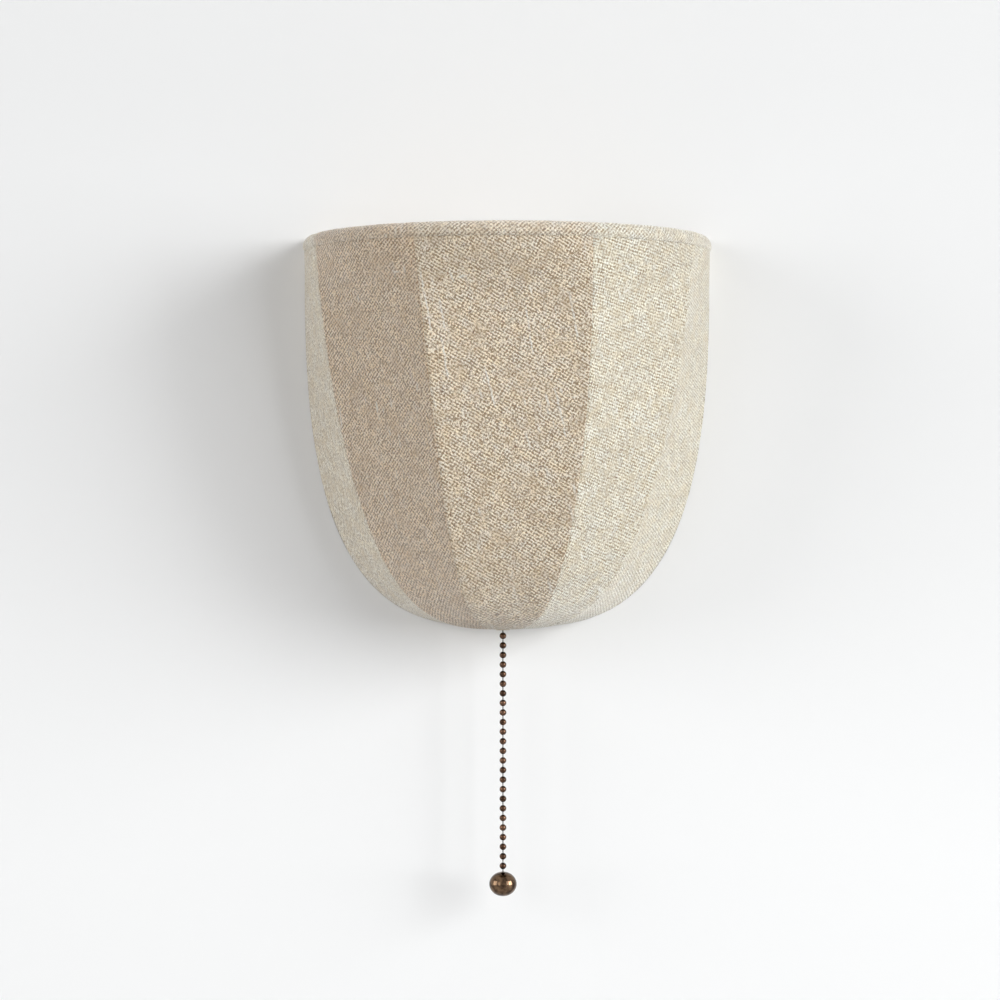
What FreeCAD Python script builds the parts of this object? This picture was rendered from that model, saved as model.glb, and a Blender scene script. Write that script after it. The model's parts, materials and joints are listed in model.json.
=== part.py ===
"""Half-bowl fabric wall light with a pull-chain switch.

The wall is the plane Y = 0 and the light stands out towards -Y. +Z is up and +X is to the right
for someone facing the wall. The origin is the centre of the mounting strap, on the wall.
Lengths are in millimetres and angles in degrees.
"""

import FreeCAD, Part

import math
import os

V = FreeCAD.Vector

# Shade
SHADE_WIDTH = 254.0
SHADE_HEIGHT = 242.0
RIM_TOP_Z = 100.0
HUB_X = -2.6
# Each rib's azimuth at the rim, and how far the middle of the inner ones bows to the right.
LEFT_OUTER_RIB_AZIMUTH = -67.1
LEFT_INNER_RIB_AZIMUTH = -26.0
RIGHT_INNER_RIB_AZIMUTH = 23.4
RIGHT_OUTER_RIB_AZIMUTH = 63.0
LEFT_INNER_RIB_BOW = 6.4
RIGHT_INNER_RIB_BOW = 3.6
CLOTH_T = 0.8
BINDING_T = 0.9
BINDING_HEIGHT = 9.0
WRAP_GAP = 0.1
WALL_GAP = 0.3
# How much further in the wall edge wire lies, because the cloth leans in from the wall edge.
WALL_EDGE_LEAN = 1.3
# Exponents of the side curves: the wall edge is fuller near the rim than the ribs.
EDGE_UPPER = 3.0
EDGE_LOWER = 3.0
RIB_UPPER = 1.4
RIB_LOWER = 3.2
# How far below the rim the cloth goes over from the round rim to flat gores.
FLATTEN_DEPTH = 28.0
GORE_ROWS = 18
GORE_COLUMNS = 7

# Frame wires
RIM_WIRE_R = 3.1
FRAME_WIRE_R = 1.5
HUB_R = 12.0
HUB_T = 3.0
HUB_LIFT = 0.9
SHADE_BAR_H = 16.0
SHADE_BAR_T = 1.5
SHADE_BAR_JOGGLE = 6.0
JOGGLE_CLEARANCE = 4.0
TUBE_STATIONS = 9

# Eyelet
EYELET_BORE_R = 2.6
EYELET_WALL = 0.5
EYELET_FLANGE_R = 4.2
EYELET_FLANGE_T = 0.7

# Wall side
STRAP_SLOT_SPACING = 88.9
STRAP_SLOT_R = 2.2
STRAP_SLOT_LENGTH = 9.0
STRAP_END_LAND = 5.05
STRAP_H = 16.0
STRAP_T = 2.0
STRAP_CORNER_R = 4.0
STRAP_WIRE_HOLE_R = 5.0
GROUND_SCREW_X = -20.0
CANOPY_STRAP_GAP = 1.8
CANOPY_DEPTH = 14.0
CANOPY_T = 1.2
CANOPY_CORNER_R = 4.0
STUD_SPACING = 70.0
STUD_R = 2.0
STUD_HOLE_CLEARANCE = 0.3
CAP_NUT_R = 5.0
CAP_NUT_LENGTH = 8.0
CAP_NUT_WALL = 1.5

# Brackets
BRACKET_WIDTH = 24.0
LAMP_BRACKET_T = 2.0
SWITCH_BRACKET_T = 1.5
BRACKET_TOP_Z = -12.0
BRACKET_SCREW_Z = (-20.0, -38.0)
BRACKET_SCREW_R = 2.0
SCREW_HEAD_R = 3.6
SCREW_HEAD_T = 2.2
NUT_ACROSS = 7.0
NUT_T = 3.2
LAMP_SHELF_Z = -50.0
LAMP_Y = -62.0
SHELF_MARGIN = 18.0

# Lampholder and bulb
NIPPLE_R = 4.8
NIPPLE_BORE_R = 3.2
NIPPLE_BELOW = 6.0
NIPPLE_ABOVE = 6.0
LOCK_NUT_ACROSS = 15.0
LOCK_NUT_T = 3.5
HOLDER_T = 1.5
HOLDER_FOOT_CORNER = 3.0
HOLDER_LIP = 1.0
HOLDER_CAP_H = 14.0
HOLDER_SHELL_H = 40.0
INSULATOR_H = 10.0
SCREW_SHELL_ROOM = 1.2
SCREW_SHELL_T = 0.6
SCREW_SHELL_H = 27.0
CENTRE_CONTACT_R = 5.0
CENTRE_CONTACT_T = 1.0
BULB_CAP_R = 13.1
BULB_CAP_CLEARANCE = 0.4
BULB_CAP_H = 27.0
BULB_CAP_T = 0.5
BULB_CAP_CORNER = 3.0
BULB_CONTACT_R = 4.5
BULB_CONTACT_H = 2.0
BULB_SEAT_GAP = 0.3
BULB_R = 28.0
BULB_LENGTH = 80.0
BULB_NECK_H = 4.0
BULB_NECK_SUNK = 3.0
BULB_NECK_GAP = 0.2
BULB_SHOULDER_ANGLE = -38.0
GLASS_T = 0.8
STEM_R = 4.0
STEM_H = 26.0
FILAMENT_R = 0.6
FILAMENT_H = 24.0
FILAMENT_SPREAD = 5.0

# Pull switch
SWITCH_AXLE_LEVEL = -76.0
SWITCH_AXLE_H = 10.71
SWITCH_LEFT = 7.5
SWITCH_DEPTH = 22.0
SWITCH_BACK_GAP = 1.5
SWITCH_HEIGHT = 20.0
SWITCH_WALL = 1.5
SWITCH_CORNER_R = 3.0
BUSHING_R = 5.0
BUSHING_BORE_R = 2.8
BUSHING_BELOW = 12.0
BUSHING_FLANGE_T = 0.9
BUSHING_FLANGE_R = 5.8
BELL_FLARE = 1.3
BELL_H = 2.0
RING_NUT_ACROSS = 14.0
RING_NUT_T = 2.5
DRUM_R = 6.4
DRUM_CORE_R = 3.2
DRUM_GROOVE = 5.2
DRUM_FLANGE = 1.4
DRUM_SIDE_ROOM = 1.2
AXLE_R = 1.2
AXLE_CLEARANCE = 0.05
AXLE_SEAT = 0.8
ROTOR_T = 2.2
ROTOR_R = 5.2
ROTOR_GAP = 0.2
ROTOR_NOTCH_R = 2.2
CONTACT_T = 0.5
CONTACT_TAIL = 2.0
SPRING_WIRE_R = 0.25
SPRING_R = 2.2
SPRING_TURN_COUNT = 3
SPRING_PITCH = 0.8

# Ball chain and knob
BEAD_R = 2.1
BEAD_PITCH = 5.88
BEAD_WALL = 0.35
SHOWN_BEAD_COUNT = 25
FIRST_BEAD_BELOW = 4.35
LINK_R = 0.3
LINK_HOLE_CLEARANCE = 0.1
LINK_HEAD_R = 0.8
PIVOT_GAP = 0.05
KNOB_WIDTH = 16.9
KNOB_HEIGHT = 15.1
KNOB_GAP = 1.35
KNOB_BORE_DEPTH = 5.0
KNOB_BORE_R = 0.6

# Wiring
LEAD_R = 1.0
HOLDER_LEAD_X = 1.6
GROMMET_X = 24.0
GROMMET_Z = -33.0
GROMMET_BORE_R = 3.4
GROMMET_LIP = 1.5
GROMMET_WALL = 1.0
BLOCK_WIDTH = 30.0
BLOCK_HEIGHT = 12.0
BLOCK_DEPTH = 8.0
BLOCK_Z = 30.0
BLOCK_POLE_COUNT = 3
BLOCK_BORE_R = 1.6
BLOCK_SCREW_R = 1.4

# Places that follow from the sizes above
SHADE_R = SHADE_WIDTH / 2
BOTTOM_Z = RIM_TOP_Z - SHADE_HEIGHT
# The chain drops straight from the switch through the hub, so the switch sets how far out the hub is.
HUB_DEPTH = CANOPY_DEPTH + SWITCH_BRACKET_T + SWITCH_BACK_GAP + SWITCH_DEPTH / 2
HUB = V(HUB_X, -HUB_DEPTH, 0)
RIBS = (
    (LEFT_OUTER_RIB_AZIMUTH, 0.0),
    (LEFT_INNER_RIB_AZIMUTH, LEFT_INNER_RIB_BOW),
    (RIGHT_INNER_RIB_AZIMUTH, RIGHT_INNER_RIB_BOW),
    (RIGHT_OUTER_RIB_AZIMUTH, 0.0),
)
ROLL_R = RIM_WIRE_R + CLOTH_T + BINDING_T + 2 * WRAP_GAP
RIM_WIRE_Z = RIM_TOP_Z - ROLL_R
RIM_PATH_R = SHADE_R - ROLL_R
CLOTH_R = SHADE_R - BINDING_T - WRAP_GAP
EDGE_INSET = CLOTH_T + WRAP_GAP + FRAME_WIRE_R + WALL_EDGE_LEAN
WALL_WIRE_Y = -(WALL_GAP + WRAP_GAP + FRAME_WIRE_R)
HUB_Z = BOTTOM_Z + CLOTH_T + HUB_LIFT
HUB_TOP_Z = HUB_Z + HUB_T
STRAP_LENGTH = STRAP_SLOT_SPACING + STRAP_SLOT_LENGTH + 2 * STRAP_END_LAND
CANOPY_R = STRAP_LENGTH / 2 + CANOPY_STRAP_GAP + CANOPY_T
CANOPY_FACE_Y = -CANOPY_DEPTH
SWITCH_BRACKET_Y = CANOPY_FACE_Y - SWITCH_BRACKET_T
LAMP_BRACKET_Y = SWITCH_BRACKET_Y - LAMP_BRACKET_T
SHADE_BAR_Y = CANOPY_FACE_Y - SHADE_BAR_T
FIRST_BEAD_Z = BOTTOM_Z - FIRST_BEAD_BELOW
# The chain is cut so that a bead lies beside the drum, as near the axle's level as whole beads allow.
BEADS_INSIDE = round((SWITCH_AXLE_LEVEL - FIRST_BEAD_Z) / BEAD_PITCH)
DRUM_Z = FIRST_BEAD_Z + BEADS_INSIDE * BEAD_PITCH
DRUM_X = HUB_X + DRUM_R
SWITCH_SHELF_Z = DRUM_Z - SWITCH_AXLE_H
SWITCH_RIGHT = DRUM_X + DRUM_R + SWITCH_WALL + DRUM_SIDE_ROOM
SWITCH_TOP_Z = SWITCH_SHELF_Z + SWITCH_HEIGHT
SCREW_SHELL_R = BULB_CAP_R + BULB_CAP_CLEARANCE + SCREW_SHELL_T
HOLDER_R = SCREW_SHELL_R + SCREW_SHELL_ROOM + HOLDER_T
HOLDER_TOP_Z = LAMP_SHELF_Z + HOLDER_CAP_H + HOLDER_SHELL_H
INSULATOR_Z = LAMP_SHELF_Z + HOLDER_CAP_H
CONTACT_TOP_Z = INSULATOR_Z + INSULATOR_H + CENTRE_CONTACT_T
BULB_BASE_Z = CONTACT_TOP_Z + BULB_SEAT_GAP
BULB_CAP_Z = BULB_BASE_Z + BULB_CONTACT_H
GLASS_Z = BULB_CAP_Z + BULB_CAP_H
Y_AXIS = V(0, 1, 0)
Z_AXIS = V(0, 0, 1)


# Simple solids

def box(low, high):
    size = high - low
    return Part.makeBox(size.x, size.y, size.z, low)


def rod(start, end, radius):
    return Part.makeCylinder(radius, (end - start).Length, start, end - start)


def tube(start, end, radius, bore):
    return rod(start, end, radius).cut(rod(start, end, bore))


def upright(x, y, low, high, radius):
    return rod(V(x, y, low), V(x, y, high), radius)


def outwards(x, z, wall_side, room_side, radius):
    """A rod square to the wall, from wall_side to room_side."""
    return rod(V(x, wall_side, z), V(x, room_side, z), radius)


def hexagon(centre, direction, across, height):
    """A six-sided bar of the stated width across its flats."""
    turn = FreeCAD.Rotation(Z_AXIS, direction)
    corner_r = across / math.sqrt(3)
    corners = []
    for i in range(7):
        angle = math.radians(60 * i)
        corners.append(centre + turn.multVec(V(corner_r * math.cos(angle), corner_r * math.sin(angle), 0)))
    face = Part.Face(Part.makePolygon(corners))
    return face.extrude(direction * height)


def turned(profile, centre=V(0, 0, 0), direction=Z_AXIS):
    """A closed profile of (radius, height) points, turned round a line through centre."""
    turn = FreeCAD.Rotation(Z_AXIS, direction)
    corners = [centre + turn.multVec(V(r, 0, h)) for r, h in profile]
    face = Part.Face(Part.makePolygon(corners + corners[:1]))
    return face.revolve(centre, direction, 360)


def cut_all(shape, *tools):
    for tool in tools:
        shape = shape.cut(tool)
    return shape


# Curved paths

def biarc(start, start_dir, end, end_dir):
    """Two arcs, in line where they meet, that leave start along start_dir and reach end along end_dir."""
    chord = end - start
    spread = 2 * (start_dir.dot(end_dir) - 1)
    slope = -2 * chord.dot(start_dir + end_dir)
    reach = chord.dot(chord)
    if abs(spread) < 1e-9:
        leg = -reach / slope
    else:
        leg = (-slope - math.sqrt(slope * slope - 4 * spread * reach)) / (2 * spread)
    middle = (start + start_dir * leg + end - end_dir * leg) * 0.5
    return [
        tangent_arc(start, start + start_dir * leg, middle),
        tangent_arc(middle, end - end_dir * leg, end),
    ]


def tangent_arc(start, corner, end):
    """The arc from start to end that touches both legs of the corner between them."""
    half = (end - start) * 0.5
    centre = start + half
    rise = corner - centre
    if rise.Length < 1e-5:
        return Part.LineSegment(start, end).toShape()
    leg = (corner - start).Length
    bulge = half.Length * (leg - half.Length) / rise.Length
    return Part.Arc(start, centre + rise.normalize() * bulge, end).toShape()


def swept(edges, radius):
    """A round wire along joined edges."""
    path = Part.Wire(edges)
    first = path.Edges[0]
    start = first.valueAt(first.FirstParameter)
    direction = first.tangentAt(first.FirstParameter)
    ring = Part.Wire(Part.makeCircle(radius, start, direction))
    return path.makePipeShell([ring], True, False)


def lead(points):
    """A wire lead with an arc at each turn, as large as its two runs allow."""
    edges = []
    radii = []
    last = points[0]
    for before, corner, after in zip(points, points[1:], points[2:]):
        into = corner - before
        out = after - corner
        setback = 0.45 * min(into.Length, out.Length)
        turn = into.getAngle(out)
        radii.append(setback / math.tan(turn / 2))
        arc_start = corner - into.normalize() * setback
        arc_end = corner + out.normalize() * setback
        edges.append(Part.LineSegment(last, arc_start).toShape())
        edges.append(tangent_arc(arc_start, corner, arc_end))
        last = arc_end
    edges.append(Part.LineSegment(last, points[-1]).toShape())
    solid = swept(edges, LEAD_R)
    length = sum(edge.Length for edge in edges)
    expected = math.pi * LEAD_R ** 2 * length
    print("lead length %.1f, volume / expected %.4f, radii" % (length, solid.Volume / expected),
          [round(r, 1) for r in radii])
    return solid


# Side curves of the shade

class SideCurve:
    """One side curve of the shade, from the rim wire's height down to the bottom.

    Seen square to the upright plane through foot and rim, it is a quarter of a full curve with its
    own exponents: upper sets how soon it leans in, lower how blunt it ends. Its middle lies bow to
    the right of that plane.
    """

    SAMPLES = 1500

    def __init__(self, foot, rim, upper, lower, bow=0.0):
        self.foot = foot
        self.bow = bow
        self.reach = (rim - foot).Length
        self.outwards = (rim - foot).normalize()
        self.sideways = V(-self.outwards.y, self.outwards.x, 0)
        drop = RIM_WIRE_Z - BOTTOM_Z
        self.places = []
        for i in range(self.SAMPLES + 1):
            angle = math.pi / 2 * i / self.SAMPLES
            out = max(math.cos(angle), 0) ** (2 / lower)
            down = math.sin(angle) ** (2 / upper)
            self.places.append((self.reach * out, RIM_WIRE_Z - drop * down))
        self.lengths = [0.0]
        for (r0, z0), (r1, z1) in zip(self.places, self.places[1:]):
            self.lengths.append(self.lengths[-1] + math.hypot(r1 - r0, z1 - z0))
        self.total = self.lengths[-1]

    def _index(self, length):
        low, high = 0, self.SAMPLES
        while high - low > 1:
            middle = (low + high) // 2
            if self.lengths[middle] <= length:
                low = middle
            else:
                high = middle
        return low

    def length_at_reach(self, reach):
        """How far along the curve its distance from the foot falls to reach."""
        for (r, _), length in zip(self.places, self.lengths):
            if r <= reach:
                return length
        return self.total

    def at(self, length, inset=0.0):
        """The point at this length from the rim, moved inwards by inset, and the direction there."""
        i = self._index(length)
        (r0, z0), (r1, z1) = self.places[i], self.places[i + 1]
        step = self.lengths[i + 1] - self.lengths[i]
        share = (length - self.lengths[i]) / step
        near = max(i - 6, 0)
        far = min(i + 7, self.SAMPLES)
        along_r = self.places[far][0] - self.places[near][0]
        along_z = self.places[far][1] - self.places[near][1]
        size = math.hypot(along_r, along_z)
        along_r, along_z = along_r / size, along_z / size
        if near == 0:
            along_r, along_z = 0.0, -1.0
        if far == self.SAMPLES:
            along_r, along_z = -1.0, 0.0
        r = r0 + (r1 - r0) * share + along_z * inset
        z = z0 + (z1 - z0) * share - along_r * inset
        done = length / self.total
        point = self.foot + self.outwards * r + V(0, 0, z) + self.sideways * (4 * self.bow * done * (1 - done))
        lean = self.sideways * (4 * self.bow * (1 - 2 * done) / self.total)
        return point, (self.outwards * along_r + V(0, 0, along_z) + lean).normalize()

    def path(self, inset, first, last):
        """Joined arcs that follow the curve between two lengths."""
        edges = []
        step = (last - first) / (TUBE_STATIONS - 1)
        stations = [self.at(first + step * i, inset) for i in range(TUBE_STATIONS)]
        for (p0, d0), (p1, d1) in zip(stations, stations[1:]):
            edges += biarc(p0, d0, p1, d1)
        return edges


def at_azimuth(radius, azimuth):
    """The point at this radius round the shade's axis, with 0 at the front and 90 at the right."""
    angle = math.radians(azimuth)
    return V(radius * math.sin(angle), -radius * math.cos(angle), 0)


def wall_curve(side):
    return SideCurve(V(0, 0, 0), at_azimuth(CLOTH_R, 90 * side), EDGE_UPPER, EDGE_LOWER)


def rib_curve(azimuth, bow):
    return SideCurve(HUB, at_azimuth(CLOTH_R, azimuth), RIB_UPPER, RIB_LOWER, bow)


# Shade cloth

def gore(left, right, left_azimuth, right_azimuth, left_end, right_end):
    """One panel of cloth between two side curves: round at the rim and flat lower down."""
    def skin(inset):
        rows = []
        for i in range(GORE_ROWS + 1):
            share = (i / GORE_ROWS) ** 1.25
            a, _ = left.at(left_end * share, inset)
            b, _ = right.at(right_end * share, inset)
            row = []
            for j in range(GORE_COLUMNS + 1):
                across = j / GORE_COLUMNS
                point = a + (b - a) * across
                azimuth = left_azimuth + (right_azimuth - left_azimuth) * across
                chord = at_azimuth(CLOTH_R, left_azimuth) * (1 - across)
                chord += at_azimuth(CLOTH_R, right_azimuth) * across
                depth = (RIM_WIRE_Z - point.z) / FLATTEN_DEPTH
                bulge = at_azimuth(CLOTH_R, azimuth) - chord
                row.append(point + bulge * math.exp(-depth * depth))
            rows.append(row)
        surface = Part.BSplineSurface()
        surface.interpolate(rows)
        return surface

    outer = skin(0.0)
    inner = skin(CLOTH_T)
    faces = [outer.toShape(), inner.toShape()]
    u0, u1, v0, v1 = outer.bounds()
    for curve in ("uIso", "vIso"):
        for end in ((u0, u1) if curve == "uIso" else (v0, v1)):
            outer_edge = getattr(outer, curve)(end).toShape()
            inner_edge = getattr(inner, curve)(end).toShape()
            faces.append(Part.makeRuledSurface(outer_edge, inner_edge))
    shell = Part.makeShell(faces)
    shell.sewShape()
    solid = Part.makeSolid(shell)
    if solid.Volume < 0:
        solid.reverse()
    room = box(V(-SHADE_WIDTH, -SHADE_WIDTH, BOTTOM_Z - ROLL_R), V(SHADE_WIDTH, -WALL_GAP, RIM_TOP_Z))
    solid = solid.common(room)
    hole_r = EYELET_BORE_R + EYELET_WALL + WRAP_GAP
    return solid.cut(upright(HUB.x, HUB.y, BOTTOM_Z - ROLL_R, HUB_TOP_Z + HUB_T, hole_r))


def gores():
    curves = {-90: wall_curve(-1)}
    for azimuth, bow in RIBS:
        curves[azimuth] = rib_curve(azimuth, bow)
    curves[90] = wall_curve(1)
    names = ("far_left_gore", "left_gore", "front_gore", "right_gore", "far_right_gore")
    azimuths = list(curves)
    made = {}
    for name, a, b in zip(names, azimuths, azimuths[1:]):
        left, right = curves[a], curves[b]
        if 90 in (abs(a), abs(b)):
            ends = (left.total, right.total)
        else:
            ends = (left.length_at_reach(EYELET_BORE_R), right.length_at_reach(EYELET_BORE_R))
        made[name] = gore(left, right, a, b, *ends)
    return made


def rim_binding():
    """The folded strip over the rim wire: round on top, with a leg down each side of the cloth."""
    foot_z = RIM_TOP_Z - BINDING_HEIGHT
    bore = ROLL_R - BINDING_T

    def at(offset, height):
        return V(RIM_PATH_R + offset, 0, height)

    def over(radius):
        return Part.Arc(at(-radius, RIM_WIRE_Z), at(0, RIM_WIRE_Z + radius), at(radius, RIM_WIRE_Z)).toShape()

    def leg(offset):
        return Part.LineSegment(at(offset, foot_z), at(offset, RIM_WIRE_Z)).toShape()

    def sole(inner, outer):
        return Part.LineSegment(at(inner, foot_z), at(outer, foot_z)).toShape()

    edges = [over(ROLL_R), over(bore), leg(-ROLL_R), leg(-bore), leg(bore), leg(ROLL_R)]
    edges += [sole(-ROLL_R, -bore), sole(bore, ROLL_R)]
    strip = Part.Face(Part.Wire(Part.sortEdges(edges)[0])).revolve(V(0, 0, 0), Z_AXIS, -180)
    clear_of_wire = FRAME_WIRE_R + WRAP_GAP
    back_wire_room = box(V(-RIM_PATH_R, WALL_WIRE_Y - clear_of_wire, foot_z - 1),
                         V(RIM_PATH_R, 1, RIM_WIRE_Z + clear_of_wire))
    wall_room = box(V(-SHADE_WIDTH, -WALL_GAP, foot_z - 1), V(SHADE_WIDTH, 1, RIM_TOP_Z + 1))
    return cut_all(strip, back_wire_room, wall_room)


def eyelet():
    """Flanged outside under the cloth and rolled over inside on the hub."""
    barrel_r = EYELET_BORE_R + EYELET_WALL
    below = BOTTOM_Z - WRAP_GAP / 2
    above = HUB_TOP_Z + WRAP_GAP / 2
    profile = [
        (EYELET_BORE_R, below - EYELET_FLANGE_T),
        (EYELET_FLANGE_R, below - EYELET_FLANGE_T),
        (EYELET_FLANGE_R, below),
        (barrel_r, below),
        (barrel_r, above),
        (EYELET_FLANGE_R, above),
        (EYELET_FLANGE_R, above + EYELET_FLANGE_T),
        (EYELET_BORE_R, above + EYELET_FLANGE_T),
    ]
    return turned(profile, HUB)


# Shade frame

def hub_ring():
    return tube(HUB + V(0, 0, HUB_Z), HUB + V(0, 0, HUB_TOP_Z), HUB_R, EYELET_BORE_R + EYELET_WALL + WRAP_GAP)


def inside_hub():
    """The room that the hub ring takes, for wires that stop at its rim."""
    return upright(HUB.x, HUB.y, BOTTOM_Z - HUB_T, HUB_TOP_Z + 2 * HUB_T, HUB_R)


def rim_ring():
    circle = Part.Face(Part.Wire(Part.makeCircle(RIM_WIRE_R, V(RIM_PATH_R, 0, RIM_WIRE_Z), Y_AXIS)))
    ring = circle.revolve(V(0, 0, 0), Z_AXIS, -180)
    front = WALL_WIRE_Y - FRAME_WIRE_R
    return ring.common(box(V(-SHADE_WIDTH, -SHADE_WIDTH, RIM_WIRE_Z - ROLL_R), V(SHADE_WIDTH, front, RIM_TOP_Z)))


def wall_edge_wire():
    """The wire that the cloth's two wall edges wrap: down one side, under and up the other."""
    edges = []
    for side in (-1, 1):
        curve = wall_curve(side)
        run = curve.path(EDGE_INSET, 0.0, curve.total)
        if side == 1:
            run = run[::-1]
        edges += run
    wire = swept(Part.sortEdges(edges)[0], FRAME_WIRE_R)
    return wire.translated(V(0, WALL_WIRE_Y, 0))


def frame_ribs(ring):
    """One wire behind each crease, set in far enough to clear both of the gores that meet there."""
    azimuths = [-90] + [azimuth for azimuth, _ in RIBS] + [90]
    made = []
    for (azimuth, bow), before, after in zip(RIBS, azimuths, azimuths[2:]):
        curve = rib_curve(azimuth, bow)
        crease = max(curve.outwards.getAngle(at_azimuth(1, (azimuth + beside) / 2)) for beside in (before, after))
        inset = CLOTH_T + (WRAP_GAP + FRAME_WIRE_R) / math.cos(crease)
        end = curve.length_at_reach(HUB_R - FRAME_WIRE_R)
        made.append(cut_all(swept(curve.path(inset, 0.0, end), FRAME_WIRE_R), inside_hub(), ring))
    return made


def back_wires(edge_wire):
    """The straight wire across the top of the back, and the strut from the wall edge wire to the hub."""
    end = V(RIM_PATH_R, WALL_WIRE_Y, RIM_WIRE_Z)
    top = rod(V(-end.x, end.y, end.z), end, FRAME_WIRE_R)
    strut_z = BOTTOM_Z + EDGE_INSET
    strut = rod(V(HUB.x, WALL_WIRE_Y - FRAME_WIRE_R, strut_z), HUB + V(0, 0, strut_z), FRAME_WIRE_R)
    return top.cut(edge_wire), strut.cut(inside_hub())


def shade_bar(edge_wire):
    """The flat bar across the frame's back, bent forward to pass in front of the canopy."""
    end = SHADE_R
    bend_out = CANOPY_R + JOGGLE_CLEARANCE + SHADE_BAR_JOGGLE
    bend_in = CANOPY_R + JOGGLE_CLEARANCE
    back, front = WALL_WIRE_Y + SHADE_BAR_T / 2, CANOPY_FACE_Y
    side = [(end, back), (bend_out, back), (bend_in, front)]
    wall_line = side + [(-x, y) for x, y in reversed(side)]
    low = -SHADE_BAR_H / 2
    corners = [V(x, y, low) for x, y in wall_line]
    corners += [V(x, y - SHADE_BAR_T, low) for x, y in reversed(wall_line)]
    bar = Part.Face(Part.makePolygon(corners + corners[:1])).extrude(V(0, 0, SHADE_BAR_H))
    bar = bar.cut(edge_wire)
    bar = max(bar.Solids, key=lambda solid: solid.Volume)
    for x in (-STUD_SPACING / 2, STUD_SPACING / 2):
        bar = bar.cut(outwards(x, 0, 0, 2 * front, STUD_R + STUD_HOLE_CLEARANCE))
    return bar


# Wall side

def slot(x):
    """An upright-walled slot through the strap, along X."""
    half = STRAP_SLOT_LENGTH / 2 - STRAP_SLOT_R
    middle = box(V(x - half, -STRAP_T, -STRAP_SLOT_R), V(x + half, 0, STRAP_SLOT_R))
    ends = [outwards(x + offset, 0, 0, -STRAP_T, STRAP_SLOT_R) for offset in (-half, half)]
    return middle.fuse(ends)


def mounting_strap():
    half = V(STRAP_LENGTH / 2, 0, STRAP_H / 2)
    strap = box(V(-half.x, -STRAP_T, -half.z), V(half.x, 0, half.z))
    strap = strap.makeFillet(STRAP_CORNER_R, [e for e in strap.Edges if abs(e.tangentAt(0).y) > 0.9])
    for side in (-1, 1):
        strap = strap.cut(slot(side * STRAP_SLOT_SPACING / 2))
        strap = strap.cut(outwards(side * STUD_SPACING / 2, 0, 0, -STRAP_T, STUD_R))
    strap = strap.cut(outwards(0, 0, 0, -STRAP_T, STRAP_WIRE_HOLE_R))
    return strap.cut(outwards(GROUND_SCREW_X, 0, 0, -STRAP_T, BRACKET_SCREW_R))


def pan_head(x, z, seat_y, length):
    """A screw with a low head on seat_y and its shank back towards the wall."""
    shank = outwards(x, z, seat_y + length, seat_y, BRACKET_SCREW_R)
    head = outwards(x, z, seat_y, seat_y - SCREW_HEAD_T, SCREW_HEAD_R)
    head = head.makeFillet(SCREW_HEAD_T * 0.4, [max(head.Edges, key=lambda e: -e.CenterOfMass.y)])
    recess = box(V(x - 0.4, seat_y - SCREW_HEAD_T, z - SCREW_HEAD_R),
                 V(x + 0.4, seat_y - SCREW_HEAD_T * 0.55, z + SCREW_HEAD_R))
    return shank.fuse(head).cut(recess)


def canopy():
    inner_r = CANOPY_R - CANOPY_T
    outside = outwards(0, 0, 0, CANOPY_FACE_Y, CANOPY_R)
    rim = [e for e in outside.Edges if abs(e.CenterOfMass.y - CANOPY_FACE_Y) < 1e-6]
    outside = outside.makeFillet(CANOPY_CORNER_R, rim)
    inside = outwards(0, 0, 0, CANOPY_FACE_Y + CANOPY_T, inner_r)
    rim = [e for e in inside.Edges if abs(e.CenterOfMass.y - CANOPY_FACE_Y - CANOPY_T) < 1e-6]
    inside = inside.makeFillet(CANOPY_CORNER_R - CANOPY_T, rim)
    shell = outside.cut(inside)
    holes = [outwards(side * STUD_SPACING / 2, 0, 0, CANOPY_FACE_Y, STUD_R + STUD_HOLE_CLEARANCE)
             for side in (-1, 1)]
    holes += [outwards(0, z, 0, CANOPY_FACE_Y, BRACKET_SCREW_R) for z in BRACKET_SCREW_Z]
    holes.append(outwards(GROMMET_X, GROMMET_Z, 0, CANOPY_FACE_Y, GROMMET_BORE_R + GROMMET_WALL))
    return cut_all(shell, *holes)


def fixture_studs():
    end = SHADE_BAR_Y - CAP_NUT_LENGTH + CAP_NUT_WALL + WALL_GAP
    studs = [outwards(side * STUD_SPACING / 2, 0, 0, end, STUD_R) for side in (-1, 1)]
    return Part.makeCompound(studs)


def cap_nuts():
    """Round nuts with a domed end, in front of the shade bar."""
    nuts = []
    for side in (-1, 1):
        x = side * STUD_SPACING / 2
        end = SHADE_BAR_Y - CAP_NUT_LENGTH
        nut = outwards(x, 0, SHADE_BAR_Y, end, CAP_NUT_R)
        rim = [e for e in nut.Edges if abs(e.CenterOfMass.y - end) < 1e-6]
        nut = nut.makeFillet(CAP_NUT_R * 0.45, rim)
        nuts.append(nut.cut(outwards(x, 0, SHADE_BAR_Y, end + CAP_NUT_WALL, STUD_R)))
    return Part.makeCompound(nuts)


# Brackets

def bent_strip(back_y, thickness, top_z, shelf_z, front_y):
    """A strip down the canopy's face that turns forward into a shelf, whose top is shelf_z."""
    half = BRACKET_WIDTH / 2
    front = back_y - thickness
    points = [(back_y, top_z), (front, top_z), (front, shelf_z), (front_y, shelf_z),
              (front_y, shelf_z - thickness), (back_y, shelf_z - thickness)]
    corners = [V(-half, y, z) for y, z in points]
    strip = Part.Face(Part.makePolygon(corners + corners[:1])).extrude(V(BRACKET_WIDTH, 0, 0))
    bend = [e for e in strip.Edges
            if abs(e.CenterOfMass.y - back_y) < 1e-6 and abs(e.CenterOfMass.z - shelf_z + thickness) < 1e-6]
    return strip.makeFillet(thickness, bend)


def bracket_holes(back_y, front_y):
    return [outwards(0, z, back_y, front_y, BRACKET_SCREW_R) for z in BRACKET_SCREW_Z]


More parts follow.
